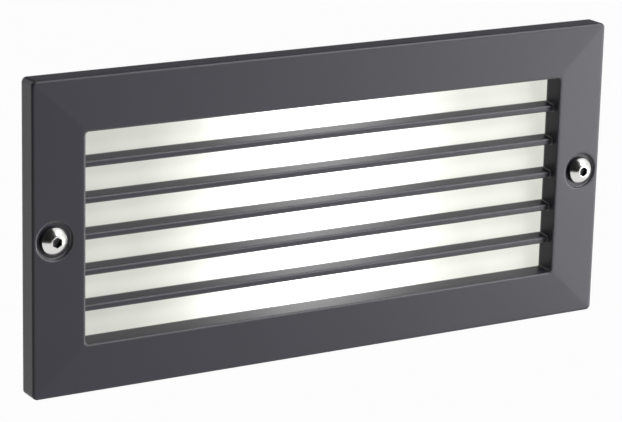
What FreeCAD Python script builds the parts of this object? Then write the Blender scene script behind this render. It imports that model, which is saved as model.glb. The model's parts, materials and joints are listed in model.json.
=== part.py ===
"""Recessed step light: a louvred cover over a frosted glass, screwed to a box set in a wall.

Millimetres. +Z is up, +X is to the right and -Y is towards the viewer. The origin is the
middle of the wall face: the cover stands in front of it and the recess box lies behind it.
"""
import FreeCAD, Part
import math
import os

V = FreeCAD.Vector

# ---------------------------------------------------------------- driving dimensions

# margins, insets, rooms and steps are counted inwards from the edge or wall beside them

# how far a cutting tool runs past a face that it opens, and how far a joined lug sinks in
over = 1.0
sink = 0.2

# louvred cover
cover_width = 230.0
cover_height = 110.0
cover_depth = 8.5
cover_corner_radius = 1.8
cover_arris_radius = 0.7
cover_rim_wall = 2.0
cover_skin = 3.0
face_fall = 0.45
face_land = 1.2
side_margin = 19.2
opening_drop = 0.8
opening_corner_radius = 1.2
opening_arris_radius = 0.3
opening_draft_angle = 6.5
blade_count = 5
slot_height = 10.45
end_slot_height = 10.9
blade_thickness = 2.1
blade_set_back = 3.0
blade_glass_gap = 0.3
blade_arris_radius = 0.3
blade_top_slope = 11.5
blade_under_slope = 6.5
web_depth = 7.2
skirt_wall = 1.4
skirt_reach = 1.5

# glass and its gasket
glass_thickness = 4.0
gasket_lip = 0.8
gasket_lip_width = 2.6
gasket_side = 1.0
gasket_play = 0.2
gasket_set_back = 0.2
gasket_inner_radius = 1.2
glass_arris = 0.4
glass_corner_radius = 2.5

# cover screws, M5 button heads
screw_inset = 8.0
counterbore_diameter = 13.0
counterbore_depth = 1.5
counterbore_chamfer = 0.35
screw_hole_diameter = 5.5
screw_boss_diameter = 11.4
screw_shank_diameter = 4.8
screw_length = 10.0
head_diameter = 9.5
head_height = 2.75
head_rim = 0.35
head_edge = 0.2
screw_tip_chamfer = 0.5
head_flat_diameter = 4.6
socket_width = 3.0
socket_depth = 1.6
washer_diameter = 10.0
washer_thickness = 0.6
running_gap = 0.1
insert_diameter = 6.4
insert_length = 8.2
press_gap = 0.02

# recess box
flange_thickness = 2.0
flange_margin = 0.8
wall_gasket_thickness = 1.0
wall_gasket_gap = 0.4
mouth_gap = 0.4
box_wall = 2.4
mouth_wall = 2.0
ledge_width = 5.6
rear_depth = 54.0
rear_side_step = 12.0
rear_top_step = 1.25
box_corner_radius = 4.0
inner_radius_drop = 1.5
insert_boss_floor = 1.5
box_step_edge = 1.2
box_rear_edge = 2.0
insert_boss_diameter = 8.0
fixing_side_inset = 4.7
fixing_top_inset = 14.2
fixing_hole_diameter = 4.5
rib_thickness = 2.0
rib_height = 3.2
rib_spacing = 44.0

# light unit
plate_thickness = 1.5
plate_gap = 0.8
plate_corner_radius = 2.0
tray_wall = 1.0
tray_rim_gap = 0.6
tray_draft = 0.8
tray_board_gap = 1.0
lead_slot_width = 8.0
lead_slot_height = 10.0
unit_screw_side_inset = 6.0
unit_screw_top_inset = 9.25
unit_boss_diameter = 7.0
unit_boss_length = 5.4
unit_hole_depth = 6.8
board_length = 122.0
board_width = 30.0
board_thickness = 1.6
board_corner_radius = 1.5
pad_thickness = 0.5
pad_inset = 1.0
led_columns = 12
led_rows = 2
led_connector_gap = 0.95
led_pitch_z = 10.0
led_length = 3.5
led_width = 2.8
led_height = 0.7
led_well_margin = 0.25
led_well_depth = 0.15
board_screw_inset = 3.5
connector_length = 8.0
connector_width = 6.0
connector_height = 3.0
connector_inset = 3.0
connector_end_wall = 3.0
led_lead_pitch = 2.8

# small screws, M3 pan heads
small_shank_diameter = 3.0
small_hole_gap = 0.1
small_clear_gap = 0.4
small_head_diameter = 5.6
small_head_height = 2.0
small_screw_length = 6.0
cross_width = 0.9
cross_length = 3.2
cross_depth = 1.1
small_head_edge = 0.9

# driver
driver_lead_room = 18.0
driver_terminal_gap = 5.1
driver_width = 32.0
driver_depth = 20.0
driver_centre_z = 6.0
driver_wall = 1.6
driver_corner_radius = 1.5
driver_inner_radius = 0.6
driver_post_diameter = 4.0
driver_post_inset = 5.0
driver_ear_length = 9.0
driver_ear_width = 10.0
driver_ear_thickness = 2.5
driver_board_height = 3.0
lid_lip = 1.5
lid_gap = 0.2
lid_lip_wall = 1.2
transformer_size = 18.0
transformer_width = 16.0
transformer_height = 9.5
bobbin_height = 5.0
bobbin_gap = 0.1
core_leg = 5.0
core_inset = 2.0
transformer_x = -6.0
capacitor_diameter = 8.0
capacitor_top_gap = 1.2
capacitor_edge = 0.6
small_capacitor_diameter = 6.4
capacitor_x = 26.0
small_capacitor_x = -30.0

# terminal block and its levers
pole_count = 3
pole_pitch = 8.0
terminal_height = 18.0
terminal_depth = 14.0
terminal_wall = 1.2
terminal_side_room = 26.0
terminal_floor_room = 18.0
terminal_ear = 7.0
terminal_pad = 5.0
terminal_ear_thickness = 3.0
terminal_pad_gap = 0.3
lever_side_gap = 0.2
lever_length = 11.0
lever_thickness = 2.5
lever_pin_diameter = 1.8
lever_slot_depth = 4.2
lever_pivot_drop = 3.0
lever_grip_length = 2.0
lever_grip_height = 0.6
lever_end_gap = 0.8
lever_pin_play = 0.1
cage_margin = 3.5
cage_side_gap = 0.3
wire_entry_diameter = 3.2
wire_entry_inset = 5.3
busbar_thickness = 1.0
spring_thickness = 0.4
spring_foot = 1.4
strip_side_gap = 0.2

# wires
mains_wire_diameter = 2.0
led_wire_diameter = 1.6
wire_gap = 0.15
earth_side_inset = 8.0
earth_top_inset = 12.0
lead_rise = 11.0
lead_drop = 1.0
lead_turn_reach = 13.0
led_lead_hold = 4.0
mains_lead_low = 3.0
mains_lead_high = 8.0
mains_bend_rise = 9.0
mains_bend_step = 5.0
mains_turn_reach = 9.0
earth_bend_rise = 8.0
earth_bend_drop = 12.0
earth_lead_drop = 4.0
lug_ring_diameter = 6.6
lug_thickness = 0.8
lug_neck_width = 3.2
lug_neck_drop = 6.0
lug_barrel_drop = 9.0
lug_barrel_length = 4.6
lug_barrel_wall = 0.6
lug_barrel_stand = 1.6
earth_screw_length = 5.0

# cable gland and blanking plug, M20
gland_back_gap = 0.4
gland_front_gap = 1.2
plug_side_room = 34.0
gland_thread_diameter = 19.8
gland_hole_gap = 0.4
gland_hex = 24.0
gland_hex_length = 5.0
gland_washer_thickness = 1.2
gland_bore = 12.0
gland_cap_length = 15.0
gland_body_reach = 9.0
locknut_thickness = 4.5
cable_diameter = 8.5
seal_length = 8.0
seal_end_gap = 0.2
seal_wall_gap = 0.3
seal_seat_step = 1.0
gland_washer_inset = 0.25
nut_corner_ratio = 1.11
neck_reach = 1.0
sleeve_step = 0.7
cap_gap = 0.5
cap_inner_gap = 0.4
cap_mouth_step = 0.5
cap_dome_diameter = 17.0
cap_dome_height = 4.0
plug_head_length = 4.0

# ---------------------------------------------------------------- worked-out places

front_y = -cover_depth
slot_pitch = slot_height + blade_thickness
opening_height = (blade_count - 1) * slot_pitch + blade_thickness + 2 * end_slot_height
open_half_w = cover_width / 2 - side_margin
open_half_h = opening_height / 2
web_back_y = front_y + web_depth
glass_front_y = web_back_y + gasket_lip
blade_front_y = front_y + blade_set_back
blade_back_y = glass_front_y - blade_glass_gap
glass_rear_y = glass_front_y + glass_thickness
gasket_rear_y = glass_rear_y + gasket_lip
lip_half_w = open_half_w + gasket_set_back
lip_half_h = open_half_h + gasket_set_back
glass_half_w = lip_half_w + gasket_lip_width
glass_half_h = lip_half_h + gasket_lip_width
gasket_half_w = glass_half_w + gasket_side
gasket_half_h = glass_half_h + gasket_side
skirt_inner_w = gasket_half_w + gasket_play
skirt_inner_h = gasket_half_h + gasket_play
skirt_outer_w = skirt_inner_w + skirt_wall
skirt_outer_h = skirt_inner_h + skirt_wall
pocket_y = front_y + cover_skin
pocket_half_w = cover_width / 2 - cover_rim_wall
pocket_half_h = cover_height / 2 - cover_rim_wall
screw_x = cover_width / 2 - screw_inset
seat_y = front_y + counterbore_depth
head_y = seat_y - washer_thickness

flange_rear_y = -wall_gasket_thickness
flange_front_y = flange_rear_y - flange_thickness
flange_half_w = pocket_half_w - flange_margin
flange_half_h = pocket_half_h - flange_margin
fixing_x = flange_half_w - fixing_side_inset
fixing_z = flange_half_h - fixing_top_inset
mouth_half_w = skirt_outer_w + mouth_gap
mouth_half_h = skirt_outer_h + mouth_gap
mouth_outer_w = mouth_half_w + mouth_wall
mouth_outer_h = mouth_half_h + mouth_wall
ledge_y = gasket_rear_y
chamber_half_w = mouth_half_w - ledge_width
chamber_half_h = mouth_half_h - ledge_width
chamber_depth = rear_depth - gland_back_gap - gland_hex - gland_front_gap - box_wall
rear_outer_y = rear_depth + box_wall
rear_half_w = chamber_half_w - rear_side_step
rear_half_h = chamber_half_h - rear_top_step
rear_floor_z = -rear_half_h
box_bottom_z = rear_floor_z - box_wall
gland_y = rear_depth - gland_hex / 2 - gland_back_gap

plate_front_y = chamber_depth - plate_thickness
plate_half_w = chamber_half_w - plate_gap
plate_half_h = chamber_half_h - plate_gap
unit_screw_x = chamber_half_w - unit_screw_side_inset
unit_screw_z = chamber_half_h - unit_screw_top_inset
tray_rear_y = plate_front_y
tray_front_y = ledge_y + tray_rim_gap
board_rear_y = plate_front_y - pad_thickness
board_front_y = board_rear_y - board_thickness
board_screw_x = board_length / 2 - board_screw_inset
board_screw_z = board_width / 2 - board_screw_inset
connector_left = connector_inset - board_length / 2
connector_right = connector_left + connector_length
led_end_x = -(connector_right + led_connector_gap + led_length / 2)
led_pitch_x = 2 * led_end_x / (led_columns - 1)

small_hole_diameter = small_shank_diameter + small_hole_gap
small_clear_diameter = small_shank_diameter + small_clear_gap

terminal_width = pole_count * pole_pitch + terminal_wall
terminal_x = rear_half_w - terminal_side_room
terminal_left = terminal_x - terminal_width / 2
terminal_reach = terminal_width / 2 + terminal_ear / 2

driver_left = driver_lead_room - rear_half_w
driver_right = terminal_x - terminal_reach - small_head_diameter / 2 - driver_terminal_gap
driver_length = driver_right - driver_left
driver_centre_x = (driver_left + driver_right) / 2
driver_bottom = driver_centre_z - driver_width / 2
driver_front_y = chamber_depth
driver_rear_y = driver_front_y + driver_depth
driver_board_y = driver_front_y + driver_wall + driver_board_height
component_y = driver_board_y + board_thickness
capacitor_height = driver_rear_y - driver_wall - capacitor_top_gap - component_y

terminal_bottom = terminal_floor_room - rear_half_h
terminal_top = terminal_bottom + terminal_height
terminal_z = terminal_bottom + terminal_height / 2
terminal_front_y = rear_depth - terminal_depth
pole_x = [terminal_left + terminal_wall / 2 + pole_pitch * (i + 0.5) for i in range(pole_count)]
lever_y = terminal_front_y + lever_thickness / 2
lever_z = terminal_top - lever_pivot_drop
entry_y = rear_depth - wire_entry_inset
lever_width = pole_pitch - terminal_wall - 2 * lever_side_gap
earth_stud_x = rear_half_w - earth_side_inset
earth_stud_z = rear_half_h - earth_top_inset
gland_x = terminal_x
plug_x = plug_side_room - rear_half_w
gland_hole_diameter = gland_thread_diameter + gland_hole_gap


# ---------------------------------------------------------------- shape helpers

def block(x0, x1, y0, y1, z0, z1):
    """A plain box between two corners."""
    return Part.makeBox(x1 - x0, y1 - y0, z1 - z0, V(x0, y0, z0))


def outline(half_w, half_h, radius, y, cx=0.0, cz=0.0):
    """A closed rectangle with round corners, in the plane at depth y."""
    r = radius
    k = r * (1 - math.sqrt(0.5))
    corners = [(1, 1), (-1, 1), (-1, -1), (1, -1)]
    edges = []
    for n, (sx, sz) in enumerate(corners):
        along_x = (cx + sx * (half_w - r), cz + sz * half_h)
        along_z = (cx + sx * half_w, cz + sz * (half_h - r))
        middle = (cx + sx * (half_w - k), cz + sz * (half_h - k))
        first, last = (along_z, along_x) if sx * sz > 0 else (along_x, along_z)
        edges.append(Part.Arc(V(first[0], y, first[1]), V(middle[0], y, middle[1]),
                              V(last[0], y, last[1])).toShape())
        tx, tz = corners[(n + 1) % 4]
        if tx != sx:
            end = (cx + tx * (half_w - r), cz + tz * half_h)
        else:
            end = (cx + tx * half_w, cz + tz * (half_h - r))
        edges.append(Part.LineSegment(V(last[0], y, last[1]), V(end[0], y, end[1])).toShape())
    return Part.Wire(edges)


def slab(half_w, half_h, radius, y0, y1, cx=0.0, cz=0.0):
    """A rectangle with round corners, pushed from y0 to y1."""
    return Part.Face(outline(half_w, half_h, radius, y0, cx, cz)).extrude(V(0, y1 - y0, 0))


def eased_slab(half_w, half_h, radius, y0, y1, edge):
    """A slab whose far rim is rounded over."""
    body = slab(half_w, half_h, radius, y0, y1)
    near = 0.01
    rim = [e for e in body.Edges if e.BoundBox.YMin > y1 - near]
    return body.makeFillet(edge, rim)


def taper(front, rear, y0, y1, cx=0.0, cz=0.0):
    """A prism that goes from one (half width, half height, radius) to another."""
    wires = [outline(*front, y0, cx, cz), outline(*rear, y1, cx, cz)]
    return Part.makeLoft(wires, True, True)


def rod(axis, diameter, start, length, a, b):
    """A cylinder along X, Y or Z, where a and b are its other two coordinates in order."""
    place = {"x": V(start, a, b), "y": V(a, start, b), "z": V(a, b, start)}[axis]
    way = {"x": V(1, 0, 0), "y": V(0, 1, 0), "z": V(0, 0, 1)}[axis]
    return Part.makeCylinder(diameter / 2, length, place, way)


def hexagon(axis, flats, start, length, a, b):
    """A hexagonal prism along Y or Z, with flats across the named width."""
    points = []
    for n in range(7):
        turn = math.radians(60 * n)
        u = flats / math.sqrt(3) * math.sin(turn)
        w = flats / math.sqrt(3) * math.cos(turn)
        points.append(V(a + u, start, b + w) if axis == "y" else V(a + w, b + u, start))
    way = V(0, length, 0) if axis == "y" else V(0, 0, length)
    return Part.Face(Part.makePolygon(points)).extrude(way)


def lathe(profile, centre, way):
    """Turns (radius, height) points about an axis through centre along way."""
    points = [V(r, 0, h) for r, h in profile]
    face = Part.Face(Part.makePolygon(points + [points[0]]))
    solid = face.revolve(V(0, 0, 0), V(0, 0, 1), 360)
    solid.Placement = FreeCAD.Placement(centre, FreeCAD.Rotation(V(0, 0, 1), way))
    return solid


def wire_route(points):
    """Straight runs joined by tangent arcs, as large as the two runs beside each allow."""
    edges = []
    here = points[0]
    for before, corner, after in zip(points, points[1:], points[2:]):
        to_before = (before - corner).normalize()
        to_after = (after - corner).normalize()
        half_turn = (math.pi - to_before.getAngle(to_after)) / 2
        reach = 0.45 * min((corner - before).Length, (after - corner).Length)
        radius = reach / math.tan(half_turn)
        start = corner + to_before * reach
        end = corner + to_after * reach
        inward = (to_before + to_after).normalize()
        middle = corner + inward * (math.hypot(radius, reach) - radius)
        edges.append(Part.LineSegment(here, start).toShape())
        edges.append(Part.Arc(start, middle, end).toShape())
        here = end
    edges.append(Part.LineSegment(here, points[-1]).toShape())
    return Part.Wire(edges)


def lead(points, diameter):
    """A wire along the route, as one round tube."""
    path = wire_route(points)
    circle = Part.Circle(points[0], points[1] - points[0], diameter / 2).toShape()
    return path.makePipeShell([Part.Wire(circle)], True, False)


def four_corners(x, z):
    """The four places at plus and minus x and z."""
    return [(sx * x, sz * z) for sx in (-1, 1) for sz in (-1, 1)]


def small_screw(x, z, head_seat_y, length=small_screw_length, way=1):
    """A cross-head M3 screw along Y whose head sits against head_seat_y."""
    rim, edge = small_head_diameter / 2, small_head_edge
    head = lathe([(0, 0), (rim, 0), (rim, edge), (rim - edge, small_head_height),
                  (0, small_head_height)], V(x, head_seat_y, z), V(0, -way, 0))
    shank = Part.makeCylinder(small_shank_diameter / 2, length, V(x, head_seat_y, z), V(0, way, 0))
    top = head_seat_y - way * small_head_height
    deep = top + way * cross_depth
    y0, y1 = min(top, deep), max(top, deep)
    a, b = cross_length / 2, cross_width / 2
    cross = block(x - a, x + a, y0, y1, z - b, z + b)
    cross = cross.fuse(block(x - b, x + b, y0, y1, z - a, z + a))
    return head.fuse(shank).cut(cross).removeSplitter()


# ---------------------------------------------------------------- cover

def sloped_blank():
    """The cover's outer block, whose face falls away from the land round the opening."""
    half_w, half_h = cover_width / 2, cover_height / 2
    blank = block(-half_w, half_w, front_y, 0, -half_h, half_h)
    uprights = [e for e in blank.Edges if abs(e.tangentAt(e.FirstParameter).y) > 0.9]
    blank = blank.makeFillet(cover_corner_radius, uprights)
    reach = 5 * over
    for half, land, span, across in ((half_w, open_half_w + face_land, half_h, "x"),
                                     (half_h, open_half_h + face_land, half_w, "z")):
        fall = face_fall * (half + reach - land) / (half - land)
        for side in (-1, 1):
            profile = [(side * land, front_y), (side * (half + reach), front_y + fall),
                       (side * (half + reach), front_y - reach), (side * land, front_y - reach)]
            if across == "x":
                points = [V(u, y, -span - reach) for u, y in profile]
                way = V(0, 0, 2 * (span + reach))
            else:
                points = [V(-span - reach, y, u) for u, y in profile]
                way = V(2 * (span + reach), 0, 0)
            blank = blank.cut(Part.Face(Part.makePolygon(points + [points[0]])).extrude(way))
    near = 0.01
    limit = front_y + face_fall + near
    rim = [e for e in blank.Edges
           if e.BoundBox.YMax < limit and (e.BoundBox.XMax > half_w - cover_corner_radius - near
                                           or e.BoundBox.XMin < cover_corner_radius + near - half_w
                                           or e.BoundBox.ZMax > half_h - near
                                           or e.BoundBox.ZMin < near - half_h)
           and e.BoundBox.YMin > front_y + face_fall / 2]
    return blank.makeFillet(cover_arris_radius, rim)


def window():
    """The cutter for the opening, which narrows towards the glass."""
    slope = math.tan(math.radians(opening_draft_angle))

    def size(distance):
        shrink = distance * slope
        return (open_half_w - shrink, open_half_h - shrink, opening_corner_radius - shrink)

    behind = web_depth + over / 2
    return taper(size(-over), size(behind), front_y - over, front_y + behind,
                 0.0, -opening_drop)


def blade(middle):
    """One blade: thin in front and thicker behind, with its ends in the opening's side walls."""
    depth = blade_back_y - blade_front_y
    top = middle + blade_thickness / 2
    under = middle - blade_thickness / 2
    rise = depth * math.tan(math.radians(blade_top_slope))
    fall = depth * math.tan(math.radians(blade_under_slope))
    points = [V(-open_half_w, y, z) for y, z in (
        (blade_front_y, under), (blade_front_y, top), (blade_back_y, top + rise),
        (blade_back_y, under - fall), (blade_front_y, under))]
    body = Part.Face(Part.makePolygon(points)).extrude(V(2 * open_half_w, 0, 0))
    near = 0.01
    arrises = [e for e in body.Edges
               if e.BoundBox.YMax < blade_front_y + near and e.BoundBox.XLength > open_half_w]
    return body.makeFillet(blade_arris_radius, arrises)


def louvre_fascia():
    """The cast cover: rim, face, five blades, screw seats and the skirt that holds the glass."""
    body = sloped_blank().cut(window())
    near = 0.01
    arrises = [e for e in body.Edges
               if e.BoundBox.YLength < near and abs(e.BoundBox.YMax - front_y) < near
               and e.BoundBox.XMax < open_half_w + near and e.BoundBox.XMin > -open_half_w - near
               and e.BoundBox.ZMax < open_half_h - opening_drop + near
               and e.BoundBox.ZMin > -open_half_h - opening_drop - near]
    body = body.makeFillet(opening_arris_radius, arrises)

    hollow = slab(pocket_half_w, pocket_half_h, cover_corner_radius, pocket_y, over)
    hollow = hollow.cut(slab(skirt_outer_w, skirt_outer_h, glass_corner_radius, pocket_y, over))
    body = body.cut(hollow)
    body = body.cut(block(-skirt_outer_w, skirt_outer_w, web_back_y, over,
                          -skirt_outer_h, skirt_outer_h))
    skirt = slab(skirt_outer_w, skirt_outer_h, glass_corner_radius, web_back_y, skirt_reach)
    skirt = skirt.cut(slab(skirt_inner_w, skirt_inner_h, glass_corner_radius - gasket_side,
                           web_back_y, skirt_reach))
    body = body.fuse(skirt)
    for n in range(blade_count):
        body = body.fuse(blade((n - (blade_count - 1) / 2) * slot_pitch - opening_drop))
    for side in (-1, 1):
        x = side * screw_x
        body = body.fuse(rod("y", screw_boss_diameter, pocket_y - sink,
                             flange_front_y - pocket_y + sink, x, 0))
        body = body.cut(rod("y", counterbore_diameter, front_y - over, counterbore_depth + over,
                            x, 0))
        mouth = counterbore_diameter / 2
        lip_y = front_y + face_fall * (screw_x - open_half_w - face_land) \
            / (cover_width / 2 - open_half_w - face_land)
        c = counterbore_chamfer
        body = body.cut(lathe([(0, -c), (mouth, -c), (mouth + 2 * c, c), (0, c)],
                              V(x, lip_y, 0), V(0, -1, 0)))
        body = body.cut(rod("y", screw_hole_diameter, front_y, cover_depth + over, x, 0))
    return body.removeSplitter()


def diffuser_glass():
    """The frosted pane, with its edges eased."""
    pane = slab(glass_half_w, glass_half_h, glass_corner_radius, glass_front_y, glass_rear_y)
    rims = [e for e in pane.Edges if e.BoundBox.YLength < 1e-6]
    return pane.makeChamfer(glass_arris, rims)


def glass_gasket():
    """The silicone channel round the pane: a lip in front, a side wall and a lip behind."""
    ring = slab(gasket_half_w, gasket_half_h, glass_corner_radius, web_back_y, gasket_rear_y)
    ring = ring.cut(slab(lip_half_w, lip_half_h, gasket_inner_radius, web_back_y - over,
                         gasket_rear_y + over))
    return ring.cut(slab(glass_half_w, glass_half_h, glass_corner_radius,
                         glass_front_y, glass_rear_y))


# ---------------------------------------------------------------- cover screws

def cover_screw(x):
    """A button-head M5 screw with a hexagon socket, its head towards the viewer."""
    low, high = head_rim, head_height
    wide, narrow = head_diameter / 2, head_flat_diameter / 2
    centre = (wide ** 2 + low ** 2 - narrow ** 2 - high ** 2) / (2 * (low - high))
    dome = math.hypot(wide, low - centre)
    middle = math.radians(0.5 * (math.degrees(math.atan2(low - centre, wide))
                                 + math.degrees(math.atan2(high - centre, narrow))))
    start, end = V(wide, 0, low), V(narrow, 0, high)
    mid = V(dome * math.cos(middle), 0, centre + dome * math.sin(middle))
    shank, tip = screw_shank_diameter / 2, -screw_length
    c = screw_tip_chamfer
    corners = [end, V(0, 0, high), V(0, 0, tip), V(shank - c, 0, tip), V(shank, 0, tip + c),
               V(shank, 0, 0), V(wide - head_edge, 0, 0), V(wide, 0, head_edge), start]
    edges = [Part.Arc(start, mid, end).toShape()]
    for p, q in zip(corners, corners[1:]):
        edges.append(Part.LineSegment(p, q).toShape())
    screw = Part.Face(Part.Wire(edges)).revolve(V(0, 0, 0), V(0, 0, 1), 360)
    screw.Placement = FreeCAD.Placement(V(x, head_y, 0), FreeCAD.Rotation(V(0, 0, 1), V(0, -1, 0)))
    top_y = head_y - head_height
    return screw.cut(hexagon("y", socket_width, top_y - over, socket_depth + over, x, 0))


def screw_washer(x):
    """The sealing washer under a cover screw's head."""
    ring = rod("y", washer_diameter, head_y, washer_thickness, x, 0)
    return ring.cut(rod("y", screw_shank_diameter + 2 * running_gap, head_y - over,
                        washer_thickness + 2 * over, x, 0))


def screw_insert(x):
    """The brass sleeve in the box that a cover screw turns into."""
    sleeve = rod("y", insert_diameter, flange_front_y, insert_length, x, 0)
    bore = screw_shank_diameter + 2 * running_gap
    return sleeve.cut(rod("y", bore, flange_front_y - over, insert_length + 2 * over, x, 0))


# ---------------------------------------------------------------- recess box

def recess_box():
    """The cast box: flange, mouth with the ledge for the glass, lamp chamber and rear space."""
    r = box_corner_radius
    body = slab(flange_half_w, flange_half_h, r, flange_front_y, flange_rear_y)
    body = body.fuse(eased_slab(mouth_outer_w, mouth_outer_h, r, flange_front_y,
                                ledge_y + box_wall, box_step_edge))
    chamber_end = chamber_depth + box_wall
    body = body.fuse(eased_slab(chamber_half_w + box_wall, chamber_half_h + box_wall, r, ledge_y,
                                chamber_end, box_step_edge))
    body = body.fuse(eased_slab(rear_half_w + box_wall, rear_half_h + box_wall, r, chamber_depth,
                                rear_outer_y, box_rear_edge))
    boss_end = flange_front_y + insert_length + insert_boss_floor
    for side in (-1, 1):
        body = body.fuse(rod("y", insert_boss_diameter, flange_front_y,
                             boss_end - flange_front_y, side * screw_x, 0))
    for x, z in four_corners(unit_screw_x, unit_screw_z):
        body = body.fuse(rod("y", unit_boss_diameter, chamber_depth, box_wall + unit_boss_length,
                             x, z))
    for x in (-1.5 * rib_spacing, -0.5 * rib_spacing, 0.5 * rib_spacing, 1.5 * rib_spacing):
        for side in (-1, 1):
            z0 = side * (chamber_half_h + box_wall / 2)
            z1 = side * (chamber_half_h + box_wall + rib_height)
            body = body.fuse(block(x - rib_thickness / 2, x + rib_thickness / 2, ledge_y + sink,
                                   chamber_end - box_step_edge, min(z0, z1), max(z0, z1)))
    inner = r - inner_radius_drop
    body = body.cut(slab(mouth_half_w, mouth_half_h, inner, flange_front_y - over, ledge_y))
    body = body.cut(slab(chamber_half_w, chamber_half_h, inner, ledge_y - over, chamber_depth))
    body = body.cut(slab(rear_half_w, rear_half_h, inner, chamber_depth - over, rear_depth))

    pad_front = rear_depth - terminal_pad
    pads = [(x, terminal_z) for x in terminal_screw_places()] + [(earth_stud_x, earth_stud_z)]
    for x, z in pads:
        body = body.fuse(rod("y", unit_boss_diameter, pad_front, terminal_pad, x, z))
        body = body.cut(rod("y", small_hole_diameter, pad_front - over, terminal_pad + over, x, z))
    for side in (-1, 1):
        body = body.cut(rod("y", insert_diameter + 2 * press_gap, flange_front_y - over,
                            insert_length + over, side * screw_x, 0))
    for x, z in four_corners(unit_screw_x, unit_screw_z):
        body = body.cut(rod("y", small_hole_diameter, chamber_depth - over,
                            unit_hole_depth + over, x, z))
    for x, z in four_corners(fixing_x, fixing_z):
        body = body.cut(rod("y", fixing_hole_diameter, flange_front_y - over,
                            flange_thickness + 2 * over, x, z))
    for x in (gland_x, plug_x):
        body = body.cut(rod("z", gland_hole_diameter, box_bottom_z - over, box_wall + 2 * over,
                            x, gland_y))
    return body.removeSplitter()


def wall_gasket():
    """The foam frame between the box's flange and the wall."""
    ring = slab(flange_half_w, flange_half_h, box_corner_radius, flange_rear_y, 0)
    ring = ring.cut(slab(mouth_outer_w + wall_gasket_gap, mouth_outer_h + wall_gasket_gap,
                         box_corner_radius, flange_rear_y - over, over))
    through = wall_gasket_thickness + 2 * over
    for side in (-1, 1):
        ring = ring.cut(rod("y", insert_boss_diameter + wall_gasket_gap, flange_rear_y - over,
                            through, side * screw_x, 0))
    for x, z in four_corners(fixing_x, fixing_z):
        ring = ring.cut(rod("y", fixing_hole_diameter, flange_rear_y - over, through, x, z))
    return ring


# ---------------------------------------------------------------- light unit

def gear_plate():
    """The aluminium plate that carries the light board in front and the driver behind."""
    plate = slab(plate_half_w, plate_half_h, plate_corner_radius, plate_front_y, chamber_depth)
    through = plate_thickness + 2 * over
    for x, z in four_corners(unit_screw_x, unit_screw_z):
        plate = plate.cut(rod("y", small_clear_diameter, plate_front_y - over, through, x, z))
    for x, z in four_corners(board_screw_x, board_screw_z) + driver_screw_places():
        plate = plate.cut(rod("y", small_hole_diameter, plate_front_y - over, through, x, z))
    return plate.cut(lead_slot(plate_front_y - over, chamber_depth + over))


def lead_slot(y0, y1):
    """The hole in the plate and the tray that the light board's leads pass through."""
    return slab(lead_slot_width / 2, lead_slot_height / 2, plate_corner_radius, y0, y1,
                lead_turn_x, lead_z)


def reflector_tray():
    """The white tray round the light board, which throws its light forward."""
    r = plate_corner_radius
    outer_rear = (plate_half_w - tray_draft, plate_half_h - tray_draft, r)
    outer_front = (plate_half_w, plate_half_h, r)
    inner_rear = (outer_rear[0] - tray_wall, outer_rear[1] - tray_wall, r - tray_wall / 2)
    inner_front = (outer_front[0] - tray_wall, outer_front[1] - tray_wall, r - tray_wall / 2)
    floor_y = tray_rear_y - tray_wall
    tray = taper(outer_front, outer_rear, tray_front_y, tray_rear_y)
    tray = tray.cut(taper(inner_front, inner_rear, tray_front_y, floor_y))
    tray = tray.cut(slab(board_length / 2 + tray_board_gap, board_width / 2 + tray_board_gap,
                         board_corner_radius, floor_y - over, tray_rear_y + over))
    for x, z in four_corners(unit_screw_x, unit_screw_z):
        tray = tray.cut(rod("y", small_clear_diameter, floor_y - over, tray_wall + 2 * over, x, z))
    return tray.cut(lead_slot(floor_y - over, tray_rear_y + over))


def unit_screws():
    """The four screws that hold the tray and the plate to the box."""
    seat = tray_rear_y - tray_wall
    return [small_screw(x, z, seat) for x, z in four_corners(unit_screw_x, unit_screw_z)]


def heat_pad():
    """The soft pad that carries heat from the light board to the plate."""
    pad = slab(board_length / 2 - pad_inset, board_width / 2 - pad_inset, board_corner_radius,
               board_rear_y, plate_front_y)
    for x, z in four_corners(board_screw_x, board_screw_z):
        pad = pad.cut(rod("y", small_clear_diameter, board_rear_y - over,
                          pad_thickness + 2 * over, x, z))
    return pad


def led_board():
    """The metal-backed board under the lamps."""
    board = slab(board_length / 2, board_width / 2, board_corner_radius, board_front_y,
                 board_rear_y)
    for x, z in four_corners(board_screw_x, board_screw_z):
        board = board.cut(rod("y", small_clear_diameter, board_front_y - over,
                              board_thickness + 2 * over, x, z))
    return board


def board_screws():
    """The four screws that hold the light board."""
    length = board_thickness + pad_thickness + plate_thickness
    return [small_screw(x, z, board_front_y, length) for x, z in
            four_corners(board_screw_x, board_screw_z)]


def led_chips():
    """The rows of small lamps, each with a shallow round window."""
    chips = []
    for column in range(led_columns):
        x = (column - (led_columns - 1) / 2) * led_pitch_x
        for row in range(led_rows):
            z = (row - (led_rows - 1) / 2) * led_pitch_z
            chip = block(x - led_length / 2, x + led_length / 2, board_front_y - led_height,
                         board_front_y, z - led_width / 2, z + led_width / 2)
            well = rod("y", led_width - 2 * led_well_margin, board_front_y - led_height - over,
                       led_well_depth + over, x, z)
            chips.append(chip.cut(well))
    return chips


def board_connector():
    """The push-in connector at the left end of the light board."""
    x0 = connector_left
    shell = block(x0, x0 + connector_length, board_front_y - connector_height, board_front_y,
                  lead_z - connector_width / 2, lead_z + connector_width / 2)
    for z in led_lead_heights():
        shell = shell.cut(rod("x", led_wire_diameter + 2 * wire_gap, x0 - over,
                              connector_length - connector_end_wall + over,
                              board_front_y - connector_height / 2, z))
    return shell


# ---------------------------------------------------------------- driver

def driver_screw_places():
    """Where the driver's two end ears are screwed to the plate."""
    z = driver_bottom + driver_ear_width / 2
    reach = driver_ear_length / 2
    return [(driver_left - reach, z), (driver_right + reach, z)]


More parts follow.
